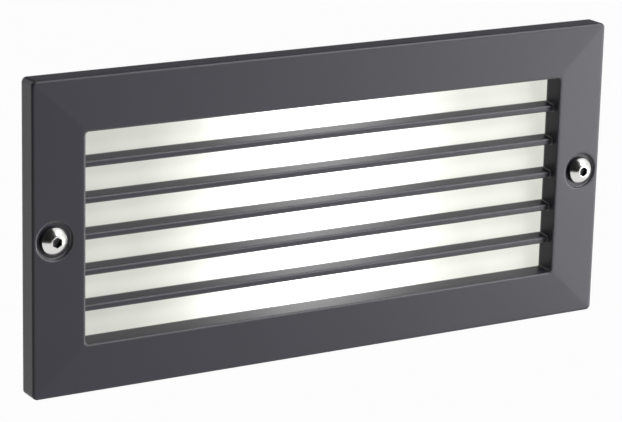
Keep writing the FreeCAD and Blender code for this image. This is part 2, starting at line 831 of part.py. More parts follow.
def driver_base():
    """The driver's case: a tray open to the rear, with an ear at each end."""
    case = slab(driver_length / 2, driver_width / 2, driver_corner_radius, driver_front_y,
                driver_rear_y - driver_wall, driver_centre_x, driver_centre_z)
    case = case.cut(slab(driver_length / 2 - driver_wall, driver_width / 2 - driver_wall,
                         driver_inner_radius, driver_front_y + driver_wall, driver_rear_y,
                         driver_centre_x, driver_centre_z))
    for x, z in driver_screw_places():
        half = driver_ear_length / 2
        case = case.fuse(block(x - half - sink, x + half + sink, driver_front_y,
                               driver_front_y + driver_ear_thickness, z - driver_ear_width / 2,
                               z + driver_ear_width / 2))
        case = case.cut(rod("y", small_clear_diameter, driver_front_y - over,
                            driver_ear_thickness + 2 * over, x, z))
    for x, z in driver_post_places():
        case = case.fuse(rod("y", driver_post_diameter, driver_front_y + driver_wall - sink,
                             driver_board_height + sink, x, z))
    for z in led_lead_heights():
        case = case.cut(rod("x", led_wire_diameter + 2 * wire_gap, driver_left - over,
                            driver_wall + 2 * over, lead_y, z))
    for z in mains_lead_heights():
        case = case.cut(rod("x", mains_wire_diameter + 2 * wire_gap,
                            driver_right - driver_wall - over, driver_wall + 2 * over, lead_y, z))
    return case.removeSplitter()


def driver_post_places():
    """The four posts that the driver's circuit board rests on."""
    x, z = driver_length / 2 - driver_post_inset, driver_width / 2 - driver_post_inset
    return [(driver_centre_x + a, driver_centre_z + b) for a, b in four_corners(x, z)]


def driver_lid():
    """The lid that drops into the rear of the driver's case."""
    plate_y = driver_rear_y - driver_wall
    lid = slab(driver_length / 2, driver_width / 2, driver_corner_radius, plate_y, driver_rear_y,
               driver_centre_x, driver_centre_z)
    inner = driver_wall + lid_gap
    lip = slab(driver_length / 2 - inner, driver_width / 2 - inner, driver_inner_radius,
               plate_y - lid_lip, plate_y, driver_centre_x, driver_centre_z)
    inner = inner + lid_lip_wall
    lip = lip.cut(slab(driver_length / 2 - inner, driver_width / 2 - inner, driver_inner_radius,
                       plate_y - lid_lip - over, plate_y, driver_centre_x, driver_centre_z))
    return lid.fuse(lip).removeSplitter()


def driver_board():
    """The driver's circuit board."""
    clear = driver_wall + lid_gap
    return slab(driver_length / 2 - clear, driver_width / 2 - clear, driver_inner_radius,
                driver_board_y, component_y, driver_centre_x, driver_centre_z)


def transformer():
    """The driver's transformer: a ferrite core round a wound bobbin, as two solids."""
    y0 = component_y
    y1 = y0 + transformer_height
    x, z = driver_centre_x + transformer_x, driver_centre_z
    half_l, half_w, half_leg = transformer_size / 2, transformer_width / 2, core_leg / 2
    core_w = half_w - core_inset
    core = block(x - half_l, x + half_l, y0, y1, z - core_w, z + core_w)
    w0 = y0 + (transformer_height - bobbin_height) / 2
    w1 = w0 + bobbin_height
    half_window = half_l - half_leg
    window = block(x - half_window, x + half_window, w0, w1, z - half_w, z + half_w)
    leg = block(x - half_leg, x + half_leg, w0, w1, z - core_w, z + core_w)
    core = core.cut(window).fuse(leg).removeSplitter()
    gap = bobbin_gap
    bobbin = block(x - half_window + gap, x + half_window - gap, w0 + gap, w1 - gap,
                   z - half_w, z + half_w)
    bobbin = bobbin.cut(block(x - half_leg - gap, x + half_leg + gap, y0, y1,
                              z - core_w - gap, z + core_w + gap))
    return [core, bobbin]


def capacitors():
    """The driver's two round capacitors, standing on its board."""
    cans = []
    for x, diameter in ((capacitor_x, capacitor_diameter),
                        (small_capacitor_x, small_capacitor_diameter)):
        can = rod("y", diameter, component_y, capacitor_height, driver_centre_x + x,
                  driver_centre_z)
        rims = [e for e in can.Edges if e.BoundBox.YLength < 1e-6]
        cans.append(can.makeFillet(capacitor_edge, rims))
    return cans


def driver_screws():
    """The two screws through the driver's ears, from behind."""
    seat = driver_front_y + driver_ear_thickness
    length = driver_ear_thickness + plate_thickness
    return [small_screw(x, z, seat, length, -1) for x, z in driver_screw_places()]


# ---------------------------------------------------------------- terminal block

def terminal_screw_places():
    """Where the terminal block's ears are screwed to the box."""
    return [terminal_x - terminal_reach, terminal_x + terminal_reach]


def lever_slot_half():
    """Half the width of the slot that a lever lies in."""
    return (pole_pitch - terminal_wall) / 2


def lever_pin_half():
    """Half the length of a lever's pivot pin."""
    return lever_slot_half() + terminal_wall / 2 - 2 * lever_pin_play


def cage_limits():
    """The front, rear, bottom and top of the space behind each lever."""
    return (terminal_front_y + lever_slot_depth + terminal_wall, rear_depth - terminal_wall,
            terminal_bottom + cage_margin, terminal_top - cage_margin)


def terminal_block():
    """The lever connector's body: one pole each for live, neutral and earth."""
    body = block(terminal_left, terminal_left + terminal_width, terminal_front_y, rear_depth,
                 terminal_bottom, terminal_top)
    ear_rear = rear_depth - terminal_pad
    for x in terminal_screw_places():
        half = terminal_ear / 2
        body = body.fuse(block(x - half - sink, x + half + sink,
                               ear_rear - terminal_ear_thickness, ear_rear,
                               terminal_z - half, terminal_z + half))
        body = body.cut(rod("y", small_clear_diameter, ear_rear - terminal_ear_thickness - over,
                            terminal_ear_thickness + 2 * over, x, terminal_z))
        body = body.cut(rod("y", unit_boss_diameter + 2 * terminal_pad_gap, ear_rear,
                            terminal_pad + over, x, terminal_z))
    slot_half = lever_slot_half()
    cage_half = slot_half - cage_side_gap
    hole_half = lever_pin_half() + lever_pin_play
    cage_front, cage_rear, cage_bottom, cage_top = cage_limits()
    for x in pole_x:
        body = body.cut(block(x - slot_half, x + slot_half, terminal_front_y - over,
                              terminal_front_y + lever_slot_depth,
                              lever_z - lever_length - lever_end_gap, terminal_top + over))
        body = body.cut(rod("x", lever_pin_diameter + 2 * running_gap, x - hole_half,
                            2 * hole_half, lever_y, lever_z))
        body = body.cut(block(x - cage_half, x + cage_half, cage_front, cage_rear, cage_bottom,
                              cage_top))
        body = body.cut(rod("z", wire_entry_diameter, terminal_bottom - over,
                            terminal_height + 2 * over, x, entry_y))
    return body.removeSplitter()


def terminal_lever(x):
    """One lever with its pivot pin, shut."""
    half = lever_width / 2
    front, rear, end_z = lever_y - lever_thickness / 2, lever_y + lever_thickness / 2, \
        lever_z - lever_length
    arm = block(x - half, x + half, front, rear, end_z, lever_z)
    arm = arm.fuse(rod("x", lever_thickness, x - half, lever_width, lever_y, lever_z))
    grip = block(x - half, x + half, front - lever_grip_height, front, end_z,
                 end_z + lever_grip_length)
    pin = rod("x", lever_pin_diameter, x - lever_pin_half(), 2 * lever_pin_half(), lever_y,
              lever_z)
    return arm.fuse(grip).fuse(pin).removeSplitter()


def terminal_busbars():
    """The tinned copper strip that each wire is pressed against."""
    _, rear, bottom, top = cage_limits()
    half = lever_slot_half() - cage_side_gap - strip_side_gap
    return [block(x - half, x + half, rear - busbar_thickness, rear, bottom, top) for x in pole_x]


def terminal_springs():
    """The bent strip in each pole that presses the wire on the busbar."""
    front, _, bottom, top = cage_limits()
    half = lever_slot_half() - cage_side_gap - strip_side_gap
    t = spring_thickness
    springs = []
    for x in pole_x:
        back = block(x - half, x + half, front, front + t, bottom, top)
        foot = block(x - half, x + half, front, front + spring_foot, bottom, bottom + t)
        head = block(x - half, x + half, front, front + spring_foot, top - t, top)
        springs.append(back.fuse(foot).fuse(head).removeSplitter())
    return springs


def terminal_screws():
    """The two screws through the terminal block's ears."""
    seat = rear_depth - terminal_pad - terminal_ear_thickness
    return [small_screw(x, terminal_z, seat) for x in terminal_screw_places()]


# ---------------------------------------------------------------- wires and earth point

lead_y = driver_front_y + lead_rise
lead_z = driver_centre_z - lead_drop
lead_turn_x = driver_left - lead_turn_reach


def led_lead_heights():
    """The heights of the two leads of the light board."""
    return [lead_z - led_lead_pitch / 2, lead_z + led_lead_pitch / 2]


def mains_lead_heights():
    """The heights of the live and neutral leads at the driver."""
    return [driver_centre_z + mains_lead_low, driver_centre_z + mains_lead_high]


def led_leads():
    """The two leads from the driver's left end, through the plate, to the light board."""
    y_board = board_front_y - connector_height / 2
    leads = []
    for z in led_lead_heights():
        points = [V(driver_left + driver_wall, lead_y, z), V(lead_turn_x, lead_y, z),
                  V(lead_turn_x, y_board, z), V(connector_left + led_lead_hold, y_board, z)]
        leads.append(lead(points, led_wire_diameter))
    return leads


def mains_leads():
    """The live and neutral leads from the terminal block to the driver's right end."""
    leads = []
    low = terminal_top + mains_bend_rise
    for x, z, bend in zip(pole_x, mains_lead_heights(), [low, low + mains_bend_step]):
        points = [V(x, entry_y, terminal_top - cage_margin), V(x, entry_y, bend),
                  V(driver_right + mains_turn_reach, lead_y, z),
                  V(driver_right - driver_wall, lead_y, z)]
        leads.append(lead(points, mains_wire_diameter))
    return leads


def earth_lead():
    """The earth lead from the terminal block to the lug at the earth point."""
    lug_y = rear_depth - terminal_pad - lug_barrel_stand
    points = [V(pole_x[2], entry_y, terminal_top - cage_margin),
              V(pole_x[2], entry_y, terminal_top + earth_bend_rise),
              V(earth_stud_x, lug_y, earth_stud_z - earth_bend_drop),
              V(earth_stud_x, lug_y, earth_stud_z - earth_lead_drop)]
    return lead(points, mains_wire_diameter)


def earth_lug():
    """The ring tongue crimped on the earth lead."""
    x, z = earth_stud_x, earth_stud_z
    lug_y = rear_depth - terminal_pad
    barrel_y = lug_y - lug_barrel_stand
    half_neck = lug_neck_width / 2
    ring = rod("y", lug_ring_diameter, lug_y - lug_thickness, lug_thickness, x, z)
    ring = ring.fuse(block(x - half_neck, x + half_neck, lug_y - lug_thickness, lug_y,
                           z - lug_neck_drop, z))
    barrel = rod("z", mains_wire_diameter + 2 * lug_barrel_wall, z - lug_barrel_drop,
                 lug_barrel_length, x, barrel_y)
    bore = rod("z", mains_wire_diameter + 2 * wire_gap, z - lug_barrel_drop - over,
               lug_barrel_length + 2 * over, x, barrel_y)
    lug = ring.fuse(barrel).cut(bore)
    return lug.cut(rod("y", small_clear_diameter, lug_y - lug_thickness - over,
                       lug_thickness + 2 * over, x, z)).removeSplitter()


def earth_screw():
    """The screw that holds the earth lug to the box."""
    return small_screw(earth_stud_x, earth_stud_z, rear_depth - terminal_pad - lug_thickness,
                       earth_screw_length)


# ---------------------------------------------------------------- cable gland and plug

gland_washer_z = box_bottom_z - gland_washer_thickness
gland_hex_z = gland_washer_z - gland_hex_length
gland_end_z = gland_hex_z - gland_body_reach
cap_end_z = gland_hex_z - gland_cap_length
nut_corners = gland_hex * nut_corner_ratio
neck_length = box_wall + gland_washer_thickness + locknut_thickness + neck_reach
sleeve_diameter = gland_thread_diameter - 2 * sleeve_step
seal_seat_diameter = gland_bore + 2 * seal_seat_step


def nut_blank(start, length, x):
    """A hexagonal prism with its corners turned off, along Z at the cable entries' depth."""
    blank = hexagon("z", gland_hex, start, length, x, gland_y)
    return blank.common(rod("z", nut_corners, start, length, x, gland_y))


def face_washer(x):
    """The flat sealing ring between a gland or plug and the box."""
    ring = rod("z", gland_hex - 2 * gland_washer_inset, gland_washer_z, gland_washer_thickness,
               x, gland_y)
    return ring.cut(rod("z", gland_hole_diameter, gland_washer_z - over,
                        gland_washer_thickness + 2 * over, x, gland_y))


def locknut(x):
    """The nut inside the box that holds a gland or plug."""
    nut = nut_blank(rear_floor_z, locknut_thickness, x)
    return nut.cut(rod("z", gland_thread_diameter + 2 * running_gap, rear_floor_z - over,
                       locknut_thickness + 2 * over, x, gland_y))


def gland_body():
    """The gland's body: a threaded neck through the wall, a hexagon and a sleeve for the seal."""
    body = nut_blank(gland_hex_z, gland_hex_length, gland_x)
    body = body.fuse(rod("z", gland_thread_diameter, gland_washer_z, neck_length, gland_x,
                         gland_y))
    body = body.fuse(rod("z", sleeve_diameter, gland_end_z, gland_body_reach, gland_x, gland_y))
    whole = gland_body_reach + gland_hex_length + neck_length
    body = body.cut(rod("z", gland_bore, gland_end_z - over, whole + 2 * over, gland_x, gland_y))
    return body.cut(rod("z", seal_seat_diameter, gland_end_z - over, seal_length + over, gland_x,
                        gland_y)).removeSplitter()


def gland_seal():
    """The rubber bush that closes round the cable."""
    bush = rod("z", seal_seat_diameter - 2 * seal_wall_gap, gland_end_z + seal_end_gap,
               seal_length - 2 * seal_end_gap, gland_x, gland_y)
    return bush.cut(rod("z", cable_diameter, gland_end_z - over, seal_length + 2 * over, gland_x,
                        gland_y))


def gland_cap():
    """The gland's cap nut, with a domed end."""
    length = gland_cap_length - cap_gap
    rim = nut_corners / 2
    cap = hexagon("z", gland_hex, cap_end_z, length, gland_x, gland_y)
    dome = lathe([(0, 0), (cap_dome_diameter / 2, 0), (rim, cap_dome_height), (rim, length),
                  (0, length)], V(gland_x, gland_y, cap_end_z), V(0, 0, 1))
    cap = cap.common(dome)
    cap = cap.cut(rod("z", sleeve_diameter + 2 * running_gap, gland_end_z - cap_inner_gap,
                      length, gland_x, gland_y))
    return cap.cut(rod("z", gland_bore - 2 * cap_mouth_step, cap_end_z - over, length, gland_x,
                       gland_y))


def blanking_plug():
    """The plug that shuts the second cable entry."""
    plug = nut_blank(gland_washer_z - plug_head_length, plug_head_length, plug_x)
    plug = plug.fuse(rod("z", gland_thread_diameter, gland_washer_z, neck_length, plug_x,
                         gland_y))
    return plug.cut(rod("z", gland_bore, gland_washer_z, neck_length + over, plug_x,
                        gland_y)).removeSplitter()


# ---------------------------------------------------------------- all pieces

pieces = {
    "louvre_fascia": louvre_fascia(),
    "diffuser_glass": diffuser_glass(),
    "glass_gasket": glass_gasket(),
    "left_cover_screw": cover_screw(-screw_x),
    "right_cover_screw": cover_screw(screw_x),
    "left_screw_washer": screw_washer(-screw_x),
    "right_screw_washer": screw_washer(screw_x),
    "recess_box": recess_box(),
    "screw_inserts": [screw_insert(-screw_x), screw_insert(screw_x)],
    "wall_gasket": wall_gasket(),
    "gear_plate": gear_plate(),
    "reflector_tray": reflector_tray(),
    "unit_screws": unit_screws(),
    "heat_pad": heat_pad(),
    "led_board": led_board(),
    "board_screws": board_screws(),
    "led_chips": led_chips(),
    "board_connector": board_connector(),
    "driver_base": driver_base(),
    "driver_lid": driver_lid(),
    "driver_board": driver_board(),
    "driver_transformer": transformer(),
    "driver_capacitors": capacitors(),
    "driver_screws": driver_screws(),
    "terminal_block": terminal_block(),
    "live_lever": terminal_lever(pole_x[0]),
    "neutral_lever": terminal_lever(pole_x[1]),
    "earth_lever": terminal_lever(pole_x[2]),
    "terminal_busbars": terminal_busbars(),
    "terminal_springs": terminal_springs(),
    "terminal_screws": terminal_screws(),
    "led_leads": led_leads(),
    "mains_leads": mains_leads(),
    "earth_lead": earth_lead(),
    "earth_lug": earth_lug(),
    "earth_screw": earth_screw(),
    "gland_body": gland_body(),
    "gland_washer": face_washer(gland_x),
    "gland_locknut": locknut(gland_x),
    "gland_seal": gland_seal(),
    "gland_cap": gland_cap(),
    "blanking_plug": blanking_plug(),
    "plug_washer": face_washer(plug_x),
    "plug_locknut": locknut(plug_x),
}

os.makedirs("parts", exist_ok=True)
for name, piece in pieces.items():
    shape = Part.makeCompound(piece) if isinstance(piece, list) else piece
    shape.exportStep("parts/" + name + ".step")
    print(name, "solids", len(shape.Solids), "volume", round(shape.Volume, 1),
          "valid", shape.isValid())
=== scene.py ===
"""Looks of the louvred step light: finishes, turned screws, lamps, backdrop and camera.

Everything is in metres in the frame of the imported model: +Z is up, +X is to the right, -Y is
towards the viewer, and the origin is the middle of the wall face.
"""
from __future__ import annotations

import json
import logging
import math
from dataclasses import dataclass
from enum import Enum, IntEnum
from typing import Callable, Sequence

import bmesh
import bpy
from mathutils import Matrix, Vector

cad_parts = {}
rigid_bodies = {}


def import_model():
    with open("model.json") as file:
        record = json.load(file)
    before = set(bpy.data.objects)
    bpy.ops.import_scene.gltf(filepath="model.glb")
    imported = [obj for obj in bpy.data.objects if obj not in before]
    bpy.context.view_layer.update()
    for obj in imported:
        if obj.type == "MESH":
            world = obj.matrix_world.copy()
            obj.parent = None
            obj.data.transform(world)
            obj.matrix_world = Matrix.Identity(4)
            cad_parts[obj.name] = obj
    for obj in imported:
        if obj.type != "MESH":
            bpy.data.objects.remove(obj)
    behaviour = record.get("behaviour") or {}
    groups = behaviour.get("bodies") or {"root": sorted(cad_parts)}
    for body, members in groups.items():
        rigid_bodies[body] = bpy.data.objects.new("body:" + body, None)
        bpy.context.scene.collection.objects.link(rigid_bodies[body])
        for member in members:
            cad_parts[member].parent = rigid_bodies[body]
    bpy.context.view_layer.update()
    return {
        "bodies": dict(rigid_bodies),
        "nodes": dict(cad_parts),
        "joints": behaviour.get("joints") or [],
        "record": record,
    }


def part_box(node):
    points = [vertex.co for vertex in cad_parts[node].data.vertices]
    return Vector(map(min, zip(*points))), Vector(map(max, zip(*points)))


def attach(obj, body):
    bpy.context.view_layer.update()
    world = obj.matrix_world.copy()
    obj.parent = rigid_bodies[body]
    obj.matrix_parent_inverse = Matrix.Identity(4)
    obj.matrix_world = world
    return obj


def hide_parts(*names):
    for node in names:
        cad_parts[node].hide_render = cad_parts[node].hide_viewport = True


LOG = logging.getLogger("step_light")
MM = 0.001
Colour = tuple[float, float, float]
Place = tuple[float, float, float]
Span = tuple[float, float]


# ---------- places and objects

def outward(azimuth_deg: float, elevation_deg: float) -> Vector:
    """The direction from the light fitting to something round it.

    Args:
        azimuth_deg: 0 is in front of the cover and 90 is on its right.
        elevation_deg: how far it lies above the level.

    Returns:
        A vector of length 1.
    """
    azimuth, lift = math.radians(azimuth_deg), math.radians(elevation_deg)
    return Vector((math.sin(azimuth) * math.cos(lift), -math.cos(azimuth) * math.cos(lift),
                   math.sin(lift)))


def add_object(name: str, data: bpy.types.ID) -> bpy.types.Object:
    """Puts a mesh, lamp or camera into the scene.

    Args:
        name: what the object is called.
        data: what it shows.

    Returns:
        The new object.
    """
    thing = bpy.data.objects.new(name, data)
    bpy.context.scene.collection.objects.link(thing)
    return thing


def mesh_object(name: str, mesh: bmesh.types.BMesh) -> bpy.types.Object:
    """Turns a closed mesh into an object, with its faces turned outwards.

    Args:
        name: what the object and its mesh are called.
        mesh: the mesh, which is used up.

    Returns:
        The new object.
    """
    bmesh.ops.recalc_face_normals(mesh, faces=mesh.faces)
    data = bpy.data.meshes.new(name)
    mesh.to_mesh(data)
    mesh.free()
    return add_object(name, data)


# ---------- node helpers

NOISE_SPAN: Span = (0.3, 0.7)  # where most of a noise's values lie
SOFT_DETAIL = 1.0
CLOUD_DETAIL = 3.0
STAIN_DETAIL = 6.0
EASING_SAMPLES = 8
FLAT_TO_ARRIS: Span = (0.995, 0.80)  # cosine of the eased to the true direction


class Direction(Enum):
    """The way in which the lines of a brushed or drawn surface run."""

    ALONG_X = (0.04, 1.0, 1.0)
    ALONG_Z = (1.0, 1.0, 0.04)
    NONE = (1.0, 1.0, 1.0)


class Axis(Enum):
    """An axis along which a pattern counts."""

    X = "X"
    Z = "Z"


class NodeSheet:
    """A material's node tree, with short methods for the patterns that the finishes share."""

    def __init__(self, name: str) -> None:
        """Makes an empty material.

        Args:
            name: what the material is called.
        """
        self.material = bpy.data.materials.new(name)
        self.material.use_nodes = True
        self.tree = self.material.node_tree
        self.shader = self.tree.nodes["Principled BSDF"]
        self.place = self.node("ShaderNodeTexCoord").outputs["Object"]

    def node(self, kind: str) -> bpy.types.Node:
        """Adds one node of a kind and returns it."""
        return self.tree.nodes.new(kind)

    def link(self, source: bpy.types.NodeSocket, target: bpy.types.NodeSocket) -> None:
        """Joins an output to an input."""
        self.tree.links.new(source, target)

    def stretched(self, lines: Direction) -> bpy.types.NodeSocket:
        """The place on the piece, squeezed along one way so that a noise turns into lines.

        Args:
            lines: which way the lines run.

        Returns:
            The squeezed place.
        """
        if lines is Direction.NONE:
            return self.place
        mapping = self.node("ShaderNodeMapping")
        mapping.inputs["Scale"].default_value = lines.value
        self.link(self.place, mapping.inputs["Vector"])
        return mapping.outputs["Vector"]

    def noise(self, size_mm: float, detail: float = 2.0,
              lines: Direction = Direction.NONE) -> bpy.types.NodeSocket:
        """A noise whose lumps are about size_mm across.

        Args:
            size_mm: the size of a lump.
            detail: how many finer layers it has.
            lines: the way its lines run.

        Returns:
            The noise, from 0 to 1.
        """
        texture = self.node("ShaderNodeTexNoise")
        texture.inputs["Scale"].default_value = 1.0 / (size_mm * MM)
        texture.inputs["Detail"].default_value = detail
        self.link(self.stretched(lines), texture.inputs["Vector"])
        return texture.outputs["Fac"]

    def cells(self, size_mm: float) -> bpy.types.NodeSocket:
        """How far each point is from the middle of its cell.

        Args:
            size_mm: the size of a cell.

        Returns:
            The distance, as a share of a cell.
        """
        texture = self.node("ShaderNodeTexVoronoi")
        texture.inputs["Scale"].default_value = 1.0 / (size_mm * MM)
        self.link(self.place, texture.inputs["Vector"])
        return texture.outputs["Distance"]

    def axis(self, axis: Axis, centre_mm: float = 0.0) -> bpy.types.NodeSocket:
        """The place along an axis in millimetres.

        Args:
            axis: which axis.
            centre_mm: where the count starts.

        Returns:
            The place.
        """
        parts = self.node("ShaderNodeSeparateXYZ")
        self.link(self.place, parts.inputs["Vector"])
        scaled = self.maths("MULTIPLY", parts.outputs[axis.value], 1.0 / MM)
        return self.maths("SUBTRACT", scaled, centre_mm)

    def maths(self, kind: str, a: bpy.types.NodeSocket | float,
              b: bpy.types.NodeSocket | float = 0.0) -> bpy.types.NodeSocket:
        """One sum on two values.

        Args:
            kind: Blender's name of the operation.
            a: the first value or socket.
            b: the second value or socket.

        Returns:
            The result.
        """
        sum_node = self.node("ShaderNodeMath")
        sum_node.operation = kind
        for socket, value in zip(sum_node.inputs, (a, b)):
            if isinstance(value, (int, float)):
                socket.default_value = value
            else:
                self.link(value, socket)
        return sum_node.outputs["Value"]

    def product(self, first: bpy.types.NodeSocket,
                *others: bpy.types.NodeSocket | float) -> bpy.types.NodeSocket:
        """Multiplies values.

        Args:
            first: the first value.
            others: what it is multiplied by, in order.

        Returns:
            The product.
        """
        result = first
        for other in others:
            result = self.maths("MULTIPLY", result, other)
        return result

    def waves(self, value: bpy.types.NodeSocket, pitch_mm: float) -> bpy.types.NodeSocket:
        """A sine wave along a value in millimetres, with pitch_mm from crest to crest."""
        return self.maths("SINE", self.product(value, 2 * math.pi / pitch_mm))

    def spread(self, value: bpy.types.NodeSocket, low: float, high: float,
               out_low: float = 0.0, out_high: float = 1.0) -> bpy.types.NodeSocket:
        """Maps low..high of a value to out_low..out_high, and holds it there.

        Args:
            value: what is mapped.
            low: the input that gives out_low.
            high: the input that gives out_high.
            out_low: the lower result.
            out_high: the higher result.

        Returns:
            The mapped value.
        """
        mapped = self.node("ShaderNodeMapRange")
        for name, number in (("From Min", low), ("From Max", high),
                             ("To Min", out_low), ("To Max", out_high)):
            mapped.inputs[name].default_value = number
        self.link(value, mapped.inputs["Value"])
        return mapped.outputs["Result"]

    def rounded(self, radius_mm: float) -> bpy.types.NodeSocket:
        """The surface's direction with its edges eased.

        Args:
            radius_mm: the radius of the eased edges.

        Returns:
            The direction.
        """
        easing = self.node("ShaderNodeBevel")
        easing.samples = EASING_SAMPLES
        easing.inputs["Radius"].default_value = radius_mm * MM
        return easing.outputs["Normal"]

    def edges(self, rounded: bpy.types.NodeSocket) -> bpy.types.NodeSocket:
        """How near an edge is: 0 on a flat face and 1 on the arris itself.

        Args:
            rounded: the direction with its edges eased.

        Returns:
            The share.
        """
        geometry = self.node("ShaderNodeNewGeometry")
        same = self.node("ShaderNodeVectorMath")
        same.operation = "DOT_PRODUCT"
        self.link(rounded, same.inputs[0])
        self.link(geometry.outputs["Normal"], same.inputs[1])
        return self.spread(same.outputs["Value"], *FLAT_TO_ARRIS)

    def blend(self, share: bpy.types.NodeSocket, first: Colour | bpy.types.NodeSocket,
              second: Colour) -> bpy.types.NodeSocket:
        """A colour between two, by a share from 0 to 1.

        Args:
            share: how much of the second colour shows.
            first: the colour at 0, or a socket that gives it.
            second: the colour at 1.

        Returns:
            The mixed colour.
        """
        mix = self.node("ShaderNodeMix")
        mix.data_type = "RGBA"
        sockets = {s.identifier: s for s in mix.inputs}
        self.link(share, sockets["Factor_Float"])
        if isinstance(first, tuple):
            sockets["A_Color"].default_value = (*first, 1.0)
        else:
            self.link(first, sockets["A_Color"])
        sockets["B_Color"].default_value = (*second, 1.0)
        return {s.identifier: s for s in mix.outputs}["Result_Color"]

    def overlay(self, share: bpy.types.NodeSocket, colour: Colour) -> None:
        """Lays a colour over the one that the shader has so far.

        Args:
            share: how much of the new colour shows.
            colour: the new colour.
        """
        base = self.shader.inputs["Base Color"]
        self.link(self.blend(share, base.links[0].from_socket, colour), base)

    def relief(self, height: bpy.types.NodeSocket, depth_mm: float,
               under: bpy.types.NodeSocket | None = None) -> bpy.types.NodeSocket:
        """Turns a height into bumps depth_mm deep, on top of other bumps.

        Args:
            height: the height, from 0 to 1.
            depth_mm: how deep the bumps are.
            under: the bumps below them.

        Returns:
            The normal, which is joined to the shader as well.
        """
        bump = self.node("ShaderNodeBump")
        bump.inputs["Distance"].default_value = depth_mm * MM
        self.link(height, bump.inputs["Height"])
        if under is not None:
            self.link(under, bump.inputs["Normal"])
        self.link(bump.outputs["Normal"], self.shader.inputs["Normal"])
        return bump.outputs["Normal"]

    def set(self, **values: float | Colour) -> None:
        """Sets values of the shader.

        Args:
            values: each value by its name, with underscores for the spaces.
        """
        for name, value in values.items():
            socket = self.shader.inputs[name.replace("_", " ")]
            socket.default_value = (*value, 1.0) if isinstance(value, tuple) else value


# ---------- finishes

def shade(colour: Colour, by: float) -> Colour:
    """A colour made lighter or darker by a factor, held between 0 and 1."""
    return tuple(min(1.0, channel * by) for channel in colour)


@dataclass(frozen=True)
class Finish:
    """What every finish has: a colour that wanders a little, and a fine relief."""

    name: str
    colour: Colour
    roughness: float
    metallic: float = 0.0
    wander: float = 0.08
    wander_mm: float = 14.0
    grain_mm: float = 0.5
    relief_mm: float = 0.004
    lines: Direction = Direction.NONE
    rough_spread: float = 0.06

    def build(self) -> bpy.types.Material:
        """Makes the material.

        Returns:
            The painted material.
        """
        sheet = NodeSheet(self.name)
        self.paint(sheet)
        return sheet.material

    def paint(self, sheet: NodeSheet) -> None:
        """Sets up colour, roughness and relief.

        Args:
            sheet: the node tree to fill.
        """
        sheet.set(Metallic=self.metallic)
        clouds = sheet.noise(self.wander_mm, CLOUD_DETAIL, self.lines)
        share = sheet.spread(clouds, *NOISE_SPAN)
        colour = sheet.blend(share, shade(self.colour, 1 - self.wander),
                             shade(self.colour, 1 + self.wander))
        sheet.link(colour, sheet.shader.inputs["Base Color"])
        grain = sheet.noise(self.grain_mm, lines=self.lines)
        rough = sheet.spread(grain, *NOISE_SPAN, self.roughness - self.rough_spread,
                             self.roughness + self.rough_spread)
        sheet.link(rough, sheet.shader.inputs["Roughness"])
        sheet.relief(grain, self.relief_mm)


@dataclass(frozen=True)
class PowderCoat(Finish):
    """Satin powder coat: orange peel, a finer grit on it, a low gloss and a painted highlight on
    its arrises.
    """

    gloss: float = 0.4
    peel_mm: float = 0.9
    peel_depth_mm: float = 0.006
    edge_mm: float = 1.2
    # the colour of the painted highlight along the arrises
    arris_highlight_colour: Colour = (0.30, 0.294, 0.31)

    def paint(self, sheet: NodeSheet) -> None:
        """Adds the orange peel under the grit, and a painted highlight: a lighter colour on the
        arrises.

        Args:
            sheet: the node tree to fill.
        """
        super().paint(sheet)
        sheet.set(Specular_IOR_Level=self.gloss)
        rounded = sheet.rounded(self.edge_mm)
        # painted highlight: a lighter colour is laid over the arrises
        sheet.overlay(sheet.edges(rounded), self.arris_highlight_colour)
        peel = sheet.relief(sheet.noise(self.peel_mm, SOFT_DETAIL), self.peel_depth_mm, rounded)
        sheet.relief(sheet.noise(self.grain_mm), self.relief_mm, peel)


@dataclass(frozen=True)
class LitFrostedGlass(Finish):
    """Frosted glass with the lamps behind it: brightest in the middle of its length."""

    middle_mm: float = -2.0
    reach_mm: float = 34.5
    glow: float = 2.7
    end_glow: float = 0.60
    lean: float = 0.15
    half_mm: float = 95.0
    patch_mm: float = 22.0
    patch_depth: float = 0.06
    middle_tint: Colour = (1.0, 1.0, 0.97)
    end_tint: Colour = (0.95, 0.96, 0.88)
    tint_span: Span = (0.05, 0.45)

    def paint(self, sheet: NodeSheet) -> None:
        """Adds the glow, which falls off towards both ends.

        Args:
            sheet: the node tree to fill.
        """
        super().paint(sheet)
        along = sheet.axis(Axis.X, self.middle_mm)
        away = sheet.maths("DIVIDE", along, self.reach_mm)
        bell = sheet.maths("POWER", math.e, sheet.product(away, away, -1.0))
        level = sheet.spread(bell, 0.0, 1.0, self.end_glow, self.glow)
        patches = sheet.spread(sheet.noise(self.patch_mm, SOFT_DETAIL), *NOISE_SPAN,
                               1 - self.patch_depth, 1 + self.patch_depth)
        lean = sheet.spread(along, -self.half_mm, self.half_mm, 1 - self.lean, 1 + self.lean)
        tint = sheet.blend(sheet.spread(bell, *self.tint_span), self.end_tint, self.middle_tint)
        sheet.link(tint, sheet.shader.inputs["Emission Color"])
        sheet.link(sheet.product(level, patches, lean), sheet.shader.inputs["Emission Strength"])


@dataclass(frozen=True)
class TurnedSteel(Finish):
    """Bright steel with faint turning rings about the screw's axis."""

    centre_x_mm: float = 0.0
    ring_mm: float = 0.22
    ring_depth_mm: float = 0.002

    def paint(self, sheet: NodeSheet) -> None:
        """Adds the rings, as ripples in the distance from the axis.

        Args:
            sheet: the node tree to fill.
        """
        super().paint(sheet)
        x, z = sheet.axis(Axis.X, self.centre_x_mm), sheet.axis(Axis.Z)
        radius = sheet.maths("SQRT", sheet.maths("ADD", sheet.product(x, x), sheet.product(z, z)))
        ripple = sheet.waves(radius, self.ring_mm)
        rings = sheet.relief(sheet.spread(ripple, -1.0, 1.0), self.ring_depth_mm)
        sheet.relief(sheet.noise(self.grain_mm), self.relief_mm, rings)


